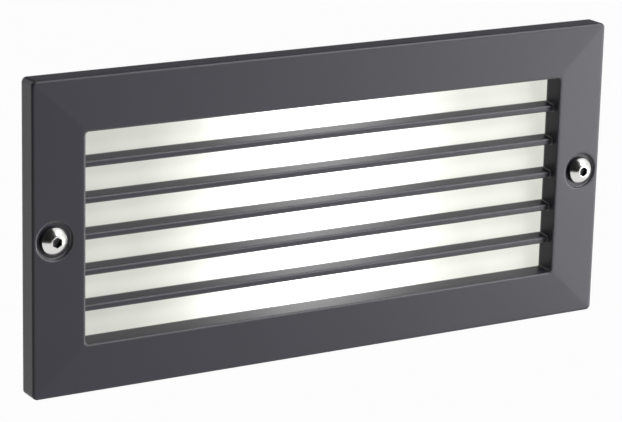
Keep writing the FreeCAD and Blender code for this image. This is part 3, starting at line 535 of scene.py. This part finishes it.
@dataclass(frozen=True)
class RoughCast(Finish):
    """Cast metal: pebbled skin with flow marks and a few darker patches."""

    pebble_mm: float = 1.6
    pebble_depth_mm: float = 0.035
    stain_mm: float = 16.0
    stain: Colour = (0.25, 0.26, 0.27)
    stain_span: Span = (0.42, 0.72)

    def paint(self, sheet: NodeSheet) -> None:
        """Adds the pebbles and the patches.

        Args:
            sheet: the node tree to fill.
        """
        super().paint(sheet)
        patches = sheet.spread(sheet.noise(self.stain_mm, STAIN_DETAIL), *self.stain_span)
        colour = sheet.blend(patches, self.colour, self.stain)
        sheet.link(colour, sheet.shader.inputs["Base Color"])
        pebbles = sheet.relief(sheet.cells(self.pebble_mm), self.pebble_depth_mm)
        sheet.relief(sheet.noise(self.grain_mm, CLOUD_DETAIL), self.relief_mm, pebbles)


@dataclass(frozen=True)
class Foam(Finish):
    """Foam rubber: open cells that show as pits."""

    cell_mm: float = 0.7
    cell_depth_mm: float = 0.09
    pit_span: Span = (0.1, 0.6)

    def paint(self, sheet: NodeSheet) -> None:
        """Adds the pits.

        Args:
            sheet: the node tree to fill.
        """
        super().paint(sheet)
        pits = sheet.spread(sheet.cells(self.cell_mm), *self.pit_span)
        sheet.relief(pits, self.cell_depth_mm)


@dataclass(frozen=True)
class Silicone(Finish):
    """Milky silicone that lets a little light through its skin."""

    depth_mm: float = 1.2
    share: float = 0.35

    def paint(self, sheet: NodeSheet) -> None:
        """Adds the light under the skin.

        Args:
            sheet: the node tree to fill.
        """
        super().paint(sheet)
        sheet.set(Subsurface_Weight=self.share, Subsurface_Scale=self.depth_mm * MM)


@dataclass(frozen=True)
class LitPhosphor(Finish):
    """The yellow window of a lit lamp in its white frame."""

    glow: float = 1.7
    dimmest: float = 0.8
    flicker_mm: float = 0.4
    light: Colour = (1.0, 0.93, 0.74)

    def paint(self, sheet: NodeSheet) -> None:
        """Adds the glow.

        Args:
            sheet: the node tree to fill.
        """
        super().paint(sheet)
        sheet.set(Emission_Color=self.light)
        flicker = sheet.spread(sheet.noise(self.flicker_mm), *NOISE_SPAN,
                               self.glow * self.dimmest, self.glow)
        sheet.link(flicker, sheet.shader.inputs["Emission Strength"])


@dataclass(frozen=True)
class PairedLeads(Finish):
    """The insulation of two leads that share a piece: the upper one has its own colour.

    The upper one runs above a height, or beyond a place along X; the default lies past it all.
    """

    upper: Colour = (0.03, 0.12, 0.42)
    above_mm: float = 0.0
    beyond_mm: float = 1000.0

    def paint(self, sheet: NodeSheet) -> None:
        """Colours the upper lead.

        Args:
            sheet: the node tree to fill.
        """
        super().paint(sheet)
        past = sheet.maths("MAXIMUM", sheet.axis(Axis.Z, self.above_mm),
                           sheet.axis(Axis.X, self.beyond_mm))
        sheet.overlay(sheet.maths("GREATER_THAN", past, 0.0), self.upper)


@dataclass(frozen=True)
class CoatedBoard(Finish):
    """A circuit board under its lacquer, with the tracks showing through as pale bands."""

    track: Colour = (0.10, 0.34, 0.20)
    pitch_mm: float = 3.4
    track_span: Span = (0.35, 0.45)
    track_height_mm: float = 0.03
    lacquer: float = 0.3

    def paint(self, sheet: NodeSheet) -> None:
        """Adds the tracks.

        Args:
            sheet: the node tree to fill.
        """
        super().paint(sheet)
        wave = sheet.waves(sheet.axis(Axis.Z), self.pitch_mm)
        bands = sheet.spread(wave, *self.track_span)
        colour = sheet.blend(bands, self.colour, self.track)
        sheet.link(colour, sheet.shader.inputs["Base Color"])
        sheet.relief(bands, self.track_height_mm)
        sheet.set(Coat_Weight=self.lacquer)


STEEL: Colour = (0.74, 0.73, 0.71)
# painted shade: a dark metal on the socket's faces stands for the shade inside the recess
SOCKET_PAINTED_SHADE = Finish("socket_painted_shade", (0.09, 0.09, 0.095), 0.5, metallic=0.9, wander=0.3,
                      wander_mm=0.6, grain_mm=0.1)
DARK_CLOTH = Finish("dark_cloth", (0.012, 0.012, 0.012), 0.9, grain_mm=2.0)
LAMP_FRAME = Finish("lamp_frame_white", (0.78, 0.78, 0.74), 0.35, wander=0.03, wander_mm=1.5,
                    grain_mm=0.15, relief_mm=0.002)
LAMP_FEET = Finish("lamp_feet_silver", (0.78, 0.76, 0.72), 0.28, metallic=1.0, wander=0.06,
                   wander_mm=0.8, grain_mm=0.1, relief_mm=0.002)

FINISHES: dict[str, Finish] = {finish.name: finish for finish in (
    PowderCoat("anthracite_coat", (0.0245, 0.0232, 0.0345), 0.40, wander=0.05, wander_mm=30.0,
               grain_mm=0.35, rough_spread=0.05),
    LitFrostedGlass("frosted_glass", (0.22, 0.225, 0.205), 0.6, wander=0.03, wander_mm=20.0,
                    grain_mm=0.25, relief_mm=0.006),
    Silicone("clear_silicone", (0.62, 0.63, 0.62), 0.35, grain_mm=0.6),
    Finish("stainless_steel", STEEL, 0.24, metallic=1.0, wander=0.04, grain_mm=0.2,
           relief_mm=0.002, rough_spread=0.05),
    Finish("sealing_rubber", (0.018, 0.018, 0.02), 0.6, wander=0.25, grain_mm=0.3, relief_mm=0.01),
    Finish("brass", (0.62, 0.43, 0.17), 0.3, metallic=1.0, wander=0.1, grain_mm=0.15,
           relief_mm=0.003),
    RoughCast("cast_aluminium", (0.30, 0.31, 0.32), 0.6, metallic=0.55, wander=0.1,
              wander_mm=9.0, grain_mm=0.35, relief_mm=0.014),
    Foam("foam_rubber", (0.022, 0.022, 0.024), 0.9, wander=0.2, grain_mm=0.3, relief_mm=0.02),
    Finish("plate_aluminium", (0.66, 0.67, 0.68), 0.34, metallic=1.0, wander=0.06,
           wander_mm=6.0, grain_mm=0.3, lines=Direction.ALONG_X, rough_spread=0.1),
    Finish("white_plastic", (0.80, 0.80, 0.78), 0.38, wander=0.03, grain_mm=0.8, relief_mm=0.006),
    Finish("zinc_screws", (0.60, 0.62, 0.64), 0.32, metallic=1.0, wander=0.12, wander_mm=2.0,
           grain_mm=0.15),
    Finish("thermal_pad", (0.34, 0.40, 0.47), 0.7, wander=0.12, wander_mm=2.0, grain_mm=0.25,
           relief_mm=0.012),
    CoatedBoard("board_white", (0.82, 0.82, 0.80), 0.3, wander=0.02, grain_mm=0.3,
                relief_mm=0.002, track=(0.74, 0.74, 0.71), pitch_mm=5.0),
    LitPhosphor("led_phosphor", (0.86, 0.70, 0.24), 0.35, wander=0.1, wander_mm=0.8, grain_mm=0.1),
    Finish("driver_plastic", (0.62, 0.62, 0.60), 0.42, wander=0.04, grain_mm=0.45, relief_mm=0.01),
    CoatedBoard("board_green", (0.02, 0.17, 0.07), 0.35, wander=0.1, wander_mm=4.0,
                grain_mm=0.3, relief_mm=0.003),
    Finish("ferrite", (0.035, 0.035, 0.037), 0.62, wander=0.3, wander_mm=1.0, grain_mm=0.2,
           relief_mm=0.014),
    Finish("capacitor_sleeve", (0.03, 0.035, 0.10), 0.28, wander=0.15, grain_mm=0.6,
           relief_mm=0.006),
    Finish("terminal_grey", (0.30, 0.31, 0.32), 0.42, wander=0.05, relief_mm=0.008),
    *(Finish("lever_" + name, colour, 0.38, wander=0.06, grain_mm=0.4, relief_mm=0.006)
      for name, colour in (("brown", (0.16, 0.07, 0.035)), ("blue", (0.03, 0.12, 0.42)),
                           ("green", (0.10, 0.38, 0.08)))),
    Finish("tinned_copper", (0.72, 0.66, 0.58), 0.3, metallic=1.0, wander=0.14, wander_mm=1.5,
           grain_mm=0.2),
    Finish("spring_steel", (0.50, 0.51, 0.53), 0.25, metallic=1.0, wander=0.1, grain_mm=0.2,
           relief_mm=0.002, lines=Direction.ALONG_Z),
    PairedLeads("lead_red", (0.02, 0.02, 0.022), 0.4, grain_mm=0.4, relief_mm=0.006,
                upper=(0.50, 0.03, 0.02), above_mm=5.0),
    PairedLeads("lead_brown", (0.17, 0.08, 0.045), 0.4, grain_mm=0.4, relief_mm=0.006,
                above_mm=11.0, beyond_mm=54.0),
    Finish("lead_green", (0.12, 0.42, 0.08), 0.4, grain_mm=0.4, relief_mm=0.006),
    Finish("gland_nylon", (0.045, 0.046, 0.05), 0.45, wander=0.1, relief_mm=0.01),
)}


class FinishBook:
    """Makes each finish once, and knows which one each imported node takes."""

    def __init__(self, frame: dict) -> None:
        """Reads which node takes which slot.

        Args:
            frame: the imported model.
        """
        self.nodes: dict[str, bpy.types.Object] = frame["nodes"]
        self.slot_of = {part["node"]: part["material_slot"] for part in frame["record"]["subparts"]}
        self.made: dict[str, bpy.types.Material] = {}

    def material(self, finish: Finish) -> bpy.types.Material:
        """The material of a finish, made on first use.

        Args:
            finish: the finish.

        Returns:
            Its material.
        """
        if finish.name not in self.made:
            self.made[finish.name] = finish.build()
        return self.made[finish.name]

    def dress(self, name: str) -> None:
        """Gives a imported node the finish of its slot.

        Args:
            name: the node.
        """
        slots = self.nodes[name].data.materials
        slots.clear()
        slots.append(self.material(FINISHES[self.slot_of[name]]))


# ---------- turned meshes

class RingMesh:
    """A closed skin over rings of points, made ring by ring about an axis along -Y.

    Its sizes are in millimetres.
    """

    def __init__(self, mesh: bmesh.types.BMesh, centre: Place, around: int,
                 offset: float = 0.0) -> None:
        """Starts an empty skin.

        Args:
            mesh: the mesh that takes its points and faces.
            centre: the place of height 0, in metres; heights count towards the viewer.
            around: how many points a ring has.
            offset: how many steps the first point of a ring lies from +Z.
        """
        self.mesh = mesh
        self.centre = centre
        self.around = around
        self.offset = offset
        self.coat = 0
        self.rings: list[list[bmesh.types.BMVert]] = []

    def ring(self, radius: Callable[[float], float], height: float) -> None:
        """Adds a ring, and the faces between it and the last one.

        Args:
            radius: the radius at an angle from +Z.
            height: the height of the whole ring.
        """
        x, y, z = self.centre
        verts = []
        for step in range(self.around):
            turn = 2 * math.pi * (step + self.offset) / self.around
            r = radius(turn) * MM
            verts.append(self.mesh.verts.new((x + r * math.sin(turn), y - height * MM,
                                              z + r * math.cos(turn))))
        if self.rings:
            last = self.rings[-1]
            for a in range(self.around):
                b = (a + 1) % self.around
                face = self.mesh.faces.new((last[a], last[b], verts[b], verts[a]))
                face.material_index = self.coat
        self.rings.append(verts)

    def circle(self, radius: float, height: float) -> None:
        """Adds a round ring."""
        self.ring(lambda turn: radius, height)

    def cap(self, ring: int) -> None:
        """Closes the first or last ring with one face."""
        self.mesh.faces.new(self.rings[ring]).material_index = self.coat


# ---------- sub-assemblies

ROUNDING_STEPS = 3
ROUNDED_FROM_DEG = 50.0


class SubAssembly:
    """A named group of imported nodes, and the finer pieces that stand for some of them."""

    title: str = ""
    body: str = "housing"
    nodes: tuple[str, ...] = ()

    def dress(self, book: FinishBook) -> None:
        """Gives each of its nodes its finish, and reports it.

        Args:
            book: where the finishes are made.
        """
        for name in self.nodes:
            book.dress(name)
            LOG.info("%s: %s in %s", self.title, name, book.slot_of[name])

    def build(self, book: FinishBook) -> None:
        """Builds its finer pieces; a group that has none keeps its nodes as they are."""
        LOG.info("%s: %d nodes, none replaced", self.title, len(self.nodes))

    def make(self, book: FinishBook) -> None:
        """Dresses the nodes and builds the finer pieces."""
        self.dress(book)
        self.build(book)

    def enter(self, piece: bpy.types.Object, node: str, book: FinishBook,
              finishes: Sequence[Finish]) -> None:
        """Lets a finer piece take the place of a node.

        Args:
            piece: the finer piece.
            node: the node that it stands for.
            book: where the finishes are made.
            finishes: its finishes, in the order of its faces' numbers.
        """
        for finish in finishes:
            piece.data.materials.append(book.material(finish))
        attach(piece, self.body)
        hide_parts(node)
        LOG.info("%s: %s stands for %s, %d faces", self.title, piece.name, node,
                 len(piece.data.polygons))

    def softened(self, node: str, name: str, rounding_mm: float, book: FinishBook) -> None:
        """Replaces a moulded soft ring by the same ring with rounded edges.

        Args:
            node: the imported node.
            name: what the new piece is called.
            rounding_mm: the edges' radius.
            book: where the finishes are made.
        """
        piece = add_object(name, book.nodes[node].data.copy())
        piece.data.materials.clear()
        rounding = piece.modifiers.new("rounded_edges", "BEVEL")
        rounding.width = rounding_mm * MM
        rounding.segments = ROUNDING_STEPS
        rounding.limit_method = "ANGLE"
        rounding.angle_limit = math.radians(ROUNDED_FROM_DEG)
        rounding.use_clamp_overlap = True
        self.enter(piece, node, book, (FINISHES[book.slot_of[node]],))


@dataclass
class Cover(SubAssembly):
    """The louvred cover with its glass and the channel round the glass."""

    title = "cover"
    body = "front_cover"
    nodes = ("louvre_fascia", "diffuser_glass")
    channel_rounding_mm: float = 0.18

    def build(self, book: FinishBook) -> None:
        """Rounds the edges of the silicone channel."""
        self.softened("glass_gasket", "silicone_channel", self.channel_rounding_mm, book)


class Side(Enum):
    """The side of the cover that a screw is on."""

    LEFT = "left"
    RIGHT = "right"


class ScrewCoat(IntEnum):
    """The numbers of a screw's finishes on its faces."""

    STEEL = 0
    SOCKET = 1


@dataclass
class CoverScrew(SubAssembly):
    """A button-head screw with a hexagon socket and a real thread, over its washer.

    Sizes are in millimetres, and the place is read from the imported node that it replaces.
    """

    side: Side
    head_height: float = 2.75
    head_radius: float = 4.75
    head_rim: float = 0.95
    head_edge: float = 0.3
    dome_steps: int = 14
    flat_radius: float = 2.3
    socket_flats: float = 3.0
    socket_depth: float = 1.6
    socket_chamfer: float = 0.14
    socket_foot: float = 0.05
    socket_waist: float = 0.6
    drill_radius: float = 1.25
    drill_tip_radius: float = 0.2
    drill_tip_depth: float = 0.3
    shank_radius: float = 2.4
    thread_depth: float = 0.42
    thread_start: float = 1.4
    pitch: float = 0.8
    flank_slope: float = 2.6
    crest_share: float = 0.15
    tip_chamfer: float = 0.5
    around: int = 96
    steps_a_turn: int = 10
    crease_deg: float = 32.0

    def __post_init__(self) -> None:
        """Names the group, its body and its washer by the side."""
        self.title = self.side.value + " cover screw"
        self.body = self.side.value + "_screw"
        self.nodes = (self.side.value + "_screw_washer",)

    @property
    def node(self) -> str:
        """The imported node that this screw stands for."""
        return self.side.value + "_cover_screw"

    def hexagon(self, flats: float) -> Callable[[float], float]:
        """A hexagon with a corner up.

        Args:
            flats: its width across the flats.

        Returns:
            Its radius at each angle from +Z.
        """
        sixth = math.pi / 3
        return lambda turn: flats / 2 / math.cos(turn % sixth - sixth / 2)

    def thread_radius(self, below: float, length: float) -> Callable[[float], float]:
        """The thread's radius round one level of the shank.

        Args:
            below: how far the level is from the head.
            length: the shank's length.

        Returns:
            The radius at each angle from +Z.
        """
        fade_in = min(1.0, max(0.0, (below - self.thread_start) / self.pitch))
        tip = max(0.0, below - (length - self.tip_chamfer))

        def radius(turn: float) -> float:
            """The radius at one angle.

            Args:
                turn: the angle from +Z.

            Returns:
                The radius.
            """
            phase = (below / self.pitch - turn / (2 * math.pi)) % 1.0
            flank = min(1.0, max(0.0, abs(phase - 0.5) * self.flank_slope - self.crest_share))
            return self.shank_radius - self.thread_depth * flank * fade_in - tip

        return radius

    def add_head(self, skin: RingMesh) -> None:
        """Adds the socket, the flat and the dome, from the middle outwards.

        Args:
            skin: the skin to add to.
        """
        top = self.head_height
        floor = top - self.socket_depth
        wall = self.hexagon(self.socket_flats)
        # the socket's faces take the dark metal that paints the shade in the recess
        skin.coat = ScrewCoat.SOCKET
        skin.circle(self.drill_tip_radius, floor - self.drill_tip_depth)
        skin.circle(self.drill_radius, floor)
        for level in (floor, floor + self.socket_foot, top - self.socket_waist,
                      top - self.socket_chamfer):
            skin.ring(wall, level)
        skin.ring(self.hexagon(self.socket_flats + 2 * self.socket_chamfer), top)
        skin.coat = ScrewCoat.STEEL
        skin.circle(self.flat_radius, top)
        wide, low, narrow = self.head_radius, self.head_rim, self.flat_radius
        centre = (wide ** 2 + low ** 2 - narrow ** 2 - top ** 2) / (2 * (low - top))
        dome = math.hypot(wide, low - centre)
        first, last = math.atan2(top - centre, narrow), math.atan2(low - centre, wide)
        for step in range(1, self.dome_steps + 1):
            angle = first + (last - first) * step / self.dome_steps
            skin.circle(dome * math.cos(angle), centre + dome * math.sin(angle))
        skin.circle(wide, self.head_edge)
        skin.circle(wide - self.head_edge, 0.0)

    def add_thread(self, skin: RingMesh, length: float) -> None:
        """Adds the shank with its thread, from the head down.

        Args:
            skin: the skin to add to.
            length: the shank's length.
        """
        skin.circle(self.shank_radius, 0.0)
        levels = round(length / self.pitch * self.steps_a_turn)
        for step in range(1, levels + 1):
            below = length * step / levels
            skin.ring(self.thread_radius(below, length), -below)

    def build(self, book: FinishBook) -> None:
        """Builds the screw where its node is.

        Args:
            book: where its finishes are made.
        """
        low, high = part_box(self.node)
        x = (low.x + high.x) / 2
        seat_y = low.y + self.head_height * MM
        mesh = bmesh.new()
        skin = RingMesh(mesh, (x, seat_y, 0.0), self.around)
        self.add_head(skin)
        self.add_thread(skin, (high.y - seat_y) / MM)
        skin.cap(-1)
        skin.coat = ScrewCoat.SOCKET
        skin.cap(0)
        piece = mesh_object("threaded_" + self.node, mesh)
        for face in piece.data.polygons:
            face.use_smooth = True
        piece.data.set_sharp_from_angle(angle=math.radians(self.crease_deg))
        steel = TurnedSteel("turned_steel_" + self.side.value, STEEL, 0.2, metallic=1.0,
                            wander=0.03, grain_mm=0.2, relief_mm=0.0015,
                            rough_spread=0.04, centre_x_mm=x / MM)
        self.enter(piece, self.node, book, (steel, SOCKET_PAINTED_SHADE))


@dataclass
class RecessBox(SubAssembly):
    """The cast box in the wall, its brass inserts and the foam frame behind its flange."""

    title = "recess box"
    nodes = ("recess_box", "screw_inserts")
    foam_rounding_mm: float = 0.3

    def build(self, book: FinishBook) -> None:
        """Rounds the edges of the foam frame, which is squeezed between flange and wall."""
        self.softened("wall_gasket", "foam_frame", self.foam_rounding_mm, book)


class LampCoat(IntEnum):
    """The numbers of a board lamp's finishes on its faces."""

    FRAME = 0
    WINDOW = 1
    FEET = 2


@dataclass
class LightUnit(SubAssembly):
    """The plate, tray and board with their lamps; the lamps are built anew, in millimetres."""

    title = "light unit"
    nodes = ("gear_plate", "reflector_tray", "unit_screws", "heat_pad", "led_board",
             "board_screws", "board_connector")
    columns: int = 12
    lamp_length: float = 3.5
    lamp_width: float = 2.8
    lamp_height: float = 0.7
    frame_draft: float = 0.12
    frame_chamfer: float = 0.3
    foot_thickness: float = 0.12
    foot_width: float = 2.1
    foot_reach: float = 0.55
    foot_tuck: float = 0.02
    window_radius: float = 1.15
    window_foot: float = 0.9
    window_crown: float = 0.5
    window_depth: float = 0.15
    window_swell: float = 0.08
    around: int = 24

    def rectangle(self, inset: float) -> Callable[[float], float]:
        """A lamp's outline with its corners cut off, as a radius at each angle.

        Args:
            inset: how far it lies inside the full outline, in millimetres.

        Returns:
            The radius in millimetres at an angle from +Z.
        """
        wide, tall = self.lamp_length / 2 - inset, self.lamp_width / 2 - inset

        def radius(turn: float) -> float:
            """The radius at an angle from +Z."""
            across, up = abs(math.sin(turn)), abs(math.cos(turn))
            return 1 / max(across / wide, up / tall,
                           (across + up) / (wide + tall - self.frame_chamfer))

        return radius

    def add_frame(self, mesh: bmesh.types.BMesh, centre: Place) -> None:
        """Adds one lamp's white frame with the round window in it.

        Args:
            mesh: the mesh to add to.
            centre: the middle of the lamp's foot, in metres.
        """
        top, window = self.lamp_height, self.window_radius
        floor = top - self.window_depth
        skin = RingMesh(mesh, centre, self.around, offset=0.5)
        skin.ring(self.rectangle(0.0), 0.0)
        skin.cap(0)
        skin.ring(self.rectangle(self.frame_draft), top)
        skin.circle(window, top)
        skin.coat = LampCoat.WINDOW
        skin.circle(window * self.window_foot, floor)
        skin.circle(window * self.window_crown, floor + self.window_swell)
        skin.cap(-1)

    def add_feet(self, mesh: bmesh.types.BMesh, centre: Place) -> None:
        """Adds the two soldered feet under one lamp's ends.

        Args:
            mesh: the mesh to add to.
            centre: the middle of the lamp's foot, in metres.
        """
        x, y, z = centre
        for way in (-1, 1):
            outer = way * (self.lamp_length / 2 - self.foot_tuck)
            inner = outer - way * self.foot_reach
            profile = ((outer, 0.0), (outer, self.foot_thickness), (inner, self.foot_thickness),
                       (inner, 0.0))
            near, far = ([mesh.verts.new((x + a * MM, y - h * MM,
                                          z + side * self.foot_width / 2 * MM))
                          for a, h in profile] for side in (-1, 1))
            for a in range(len(profile)):
                b = (a + 1) % len(profile)
                mesh.faces.new((near[a], near[b], far[b], far[a])).material_index = LampCoat.FEET
            for end in (near, far):
                mesh.faces.new(end).material_index = LampCoat.FEET

    def build(self, book: FinishBook) -> None:
        """Builds all the lamps as one piece, in the box of their node.

        Args:
            book: where their finishes are made.
        """
        low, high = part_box("led_chips")
        mesh = bmesh.new()
        half_x, half_z = self.lamp_length / 2 * MM, self.lamp_width / 2 * MM
        for column in range(self.columns):
            share = column / (self.columns - 1)
            x = (low.x + half_x) * (1 - share) + (high.x - half_x) * share
            for z in (low.z + half_z, high.z - half_z):
                self.add_frame(mesh, (x, high.y, z))
                self.add_feet(mesh, (x, high.y, z))
        piece = mesh_object("board_lamps", mesh)
        self.enter(piece, "led_chips", book, (LAMP_FRAME, FINISHES["led_phosphor"], LAMP_FEET))


@dataclass
class Driver(SubAssembly):
    """The driver in its case."""

    title = "driver"
    nodes = ("driver_base", "driver_lid", "driver_board", "driver_transformer",
             "driver_capacitors", "driver_screws")


@dataclass
class TerminalBlock(SubAssembly):
    """The terminal block with its levers, busbars and springs."""

    title = "terminal block"
    nodes = ("terminal_block", "live_lever", "neutral_lever", "earth_lever",
             "terminal_busbars", "terminal_springs", "terminal_screws")


@dataclass
class Wiring(SubAssembly):
    """The leads inside the box, and the earth lug with its screw."""

    title = "wiring"
    nodes = ("led_leads", "mains_leads", "earth_lead", "earth_lug", "earth_screw")


@dataclass
class CableEntries(SubAssembly):
    """The cable gland and the blanking plug in the bottom of the box."""

    title = "cable entries"
    nodes = ("gland_body", "gland_washer", "gland_locknut", "gland_seal", "gland_cap",
             "blanking_plug", "plug_washer", "plug_locknut")


# ---------- set, lamps and camera

@dataclass(frozen=True)
class Lamp:
    """A soft rectangular lamp that faces the light fitting."""

    name: str
    azimuth_deg: float
    elevation_deg: float
    distance: float
    width: float
    height: float
    power: float

    def place(self) -> None:
        """Puts the lamp up."""
        back = outward(self.azimuth_deg, self.elevation_deg)
        data = bpy.data.lights.new(self.name, "AREA")
        data.shape = "RECTANGLE"
        data.size, data.size_y = self.width, self.height
        data.energy = self.power
        lamp = add_object(self.name, data)
        lamp.location = back * self.distance
        lamp.rotation_mode = "QUATERNION"
        lamp.rotation_quaternion = (-back).to_track_quat("-Z", "Y")
        LOG.info("lamp %s", self.name)


@dataclass(frozen=True)
class Flag:
    """A dark curved cloth that keeps stray light off: a patch of a sphere about the light."""

    name: str
    azimuths_deg: Span
    elevations_deg: Span
    distance: float
    steps: int = 12

    def point(self, across: float, up: float) -> Vector:
        """A point of the cloth.

        Args:
            across: the share of its width.
            up: the share of its height.

        Returns:
            The point.
        """
        azimuth = self.azimuths_deg[0] * (1 - across) + self.azimuths_deg[1] * across
        elevation = self.elevations_deg[0] * (1 - up) + self.elevations_deg[1] * up
        return outward(azimuth, elevation) * self.distance

    def hang(self, cloth: bpy.types.Material) -> None:
        """Puts the cloth up.

        Args:
            cloth: its material.
        """
        count = self.steps + 1
        shares = [step / self.steps for step in range(count)]
        points = [self.point(across, up) for up in shares for across in shares]
        faces = [(a, a + 1, a + 1 + count, a + count)
                 for row in range(self.steps) for a in range(row * count, row * count + self.steps)]
        data = bpy.data.meshes.new(self.name)
        data.from_pydata(points, [], faces)
        data.materials.append(cloth)
        flag = add_object(self.name, data)
        flag.visible_camera = False
        LOG.info("flag %s", self.name)


@dataclass
class Studio:
    """A pale floor far below, a white surround, soft lamps and dark flags."""

    floor_drop: float = 0.9
    floor_half: float = 9.0
    world_level: float = 0.35
    floor_level: float = 0.97
    floor_colour: Colour = (0.8, 0.8, 0.8)
    floor_roughness: float = 0.8
    lamps: tuple[Lamp, ...] = (
        Lamp("side_lamp", 54.0, -9.0, 1.6, 0.7, 0.7, 14.5),
        Lamp("key_lamp", 42.0, 36.0, 1.9, 0.8, 0.5, 25.0),
    )
    flags: tuple[Flag, ...] = (
        Flag("rear_flag", (116.0, 186.0), (11.0, 58.0), 2.4),
        Flag("left_flag", (-118.0, 16.0), (-12.0, 84.0), 2.4),
    )

    def seen_white(self, tree: bpy.types.NodeTree) -> bpy.types.NodeSocket:
        """A socket that is 1 for what the camera, gloss and glass see.

        Args:
            tree: the node tree to add to.

        Returns:
            The socket.
        """
        path = tree.nodes.new("ShaderNodeLightPath")
        both = path.outputs["Is Camera Ray"]
        for name in ("Is Glossy Ray", "Is Transmission Ray"):
            more = tree.nodes.new("ShaderNodeMath")
            more.operation = "MAXIMUM"
            tree.links.new(both, more.inputs[0])
            tree.links.new(path.outputs[name], more.inputs[1])
            both = more.outputs["Value"]
        return both

    def light_world(self) -> None:
        """Makes the surround: white to look at, dimmer as a light."""
        world = bpy.data.worlds.new("studio_surround")
        bpy.context.scene.world = world
        world.use_nodes = True
        tree = world.node_tree
        back = tree.nodes["Background"]
        back.inputs["Color"].default_value = (1.0, 1.0, 1.0, 1.0)
        level = tree.nodes.new("ShaderNodeMapRange")
        level.inputs["To Min"].default_value = self.world_level
        level.inputs["To Max"].default_value = 1.0
        tree.links.new(self.seen_white(tree), level.inputs["Value"])
        tree.links.new(level.outputs["Result"], back.inputs["Strength"])

    def lay_floor(self) -> None:
        """Makes the floor: pale, white to look at, and still with the shadows on it."""
        data = bpy.data.meshes.new("studio_floor")
        h = self.floor_half
        data.from_pydata([(-h, -h, 0), (h, -h, 0), (h, h, 0), (-h, h, 0)], [], [(0, 1, 2, 3)])
        floor = add_object("studio_floor", data)
        floor.location.z = -self.floor_drop
        sheet = NodeSheet("pale_floor")
        sheet.set(Base_Color=self.floor_colour, Roughness=self.floor_roughness)
        glow = sheet.node("ShaderNodeEmission")
        mix = sheet.node("ShaderNodeMixShader")
        share = sheet.product(self.seen_white(sheet.tree), self.floor_level)
        sheet.link(share, mix.inputs["Fac"])
        sheet.link(sheet.shader.outputs["BSDF"], mix.inputs[1])
        sheet.link(glow.outputs["Emission"], mix.inputs[2])
        sheet.link(mix.outputs["Shader"], sheet.tree.nodes["Material Output"].inputs["Surface"])
        data.materials.append(sheet.material)

    def build(self) -> None:
        """Puts up the floor, the surround, the lamps and the flags."""
        self.lay_floor()
        self.light_world()
        for lamp in self.lamps:
            lamp.place()
        cloth = DARK_CLOTH.build()
        for flag in self.flags:
            flag.hang(cloth)
        bpy.context.scene.view_settings.view_transform = "Standard"
        LOG.info("studio: %d lamps, %d flags", len(self.lamps), len(self.flags))


@dataclass(frozen=True)
class PhotoCamera:
    """The camera at the photograph's viewing angle: left of the cover and a little above it."""

    left_deg: float = 30.72
    above_deg: float = 15.69
    roll_deg: float = 1.394
    distance: float = 0.95446
    target: Place = (-0.008658, -0.0085, -0.001386)
    focal_px: float = 2732.37
    frame_px: float = 622.0
    sensor_mm: float = 36.0

    def place(self) -> None:
        """Makes the camera and sets it as the scene's own."""
        left, roll = math.radians(self.left_deg), math.radians(self.roll_deg)
        ahead = -outward(-self.left_deg, self.above_deg)
        level = Vector((math.cos(left), -math.sin(left), 0.0))
        upright = level.cross(ahead)
        right = level * math.cos(roll) + upright * math.sin(roll)
        up = upright * math.cos(roll) - level * math.sin(roll)
        place = Matrix((right, up, -ahead)).transposed().to_4x4()
        place.translation = Vector(self.target) - ahead * self.distance
        data = bpy.data.cameras.new("photo_camera")
        data.sensor_width = self.sensor_mm
        data.sensor_fit = "HORIZONTAL"
        data.lens = self.focal_px / self.frame_px * self.sensor_mm
        camera = add_object("photo_camera", data)
        camera.matrix_world = place
        bpy.context.scene.camera = camera
        LOG.info("camera: lens %.1f mm", data.lens)


# ---------- the whole light


def main() -> None:
    """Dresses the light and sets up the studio."""
    logging.basicConfig(level=logging.INFO, format="%(name)s %(message)s")
    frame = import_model()
    book = FinishBook(frame)
    groups: tuple[SubAssembly, ...] = (
        Cover(), *(CoverScrew(side) for side in Side), RecessBox(), LightUnit(), Driver(),
        TerminalBlock(), Wiring(), CableEntries())
    for group in groups:
        group.make(book)
    Studio().build()
    PhotoCamera().place()


if __name__ == "__main__":
    main()
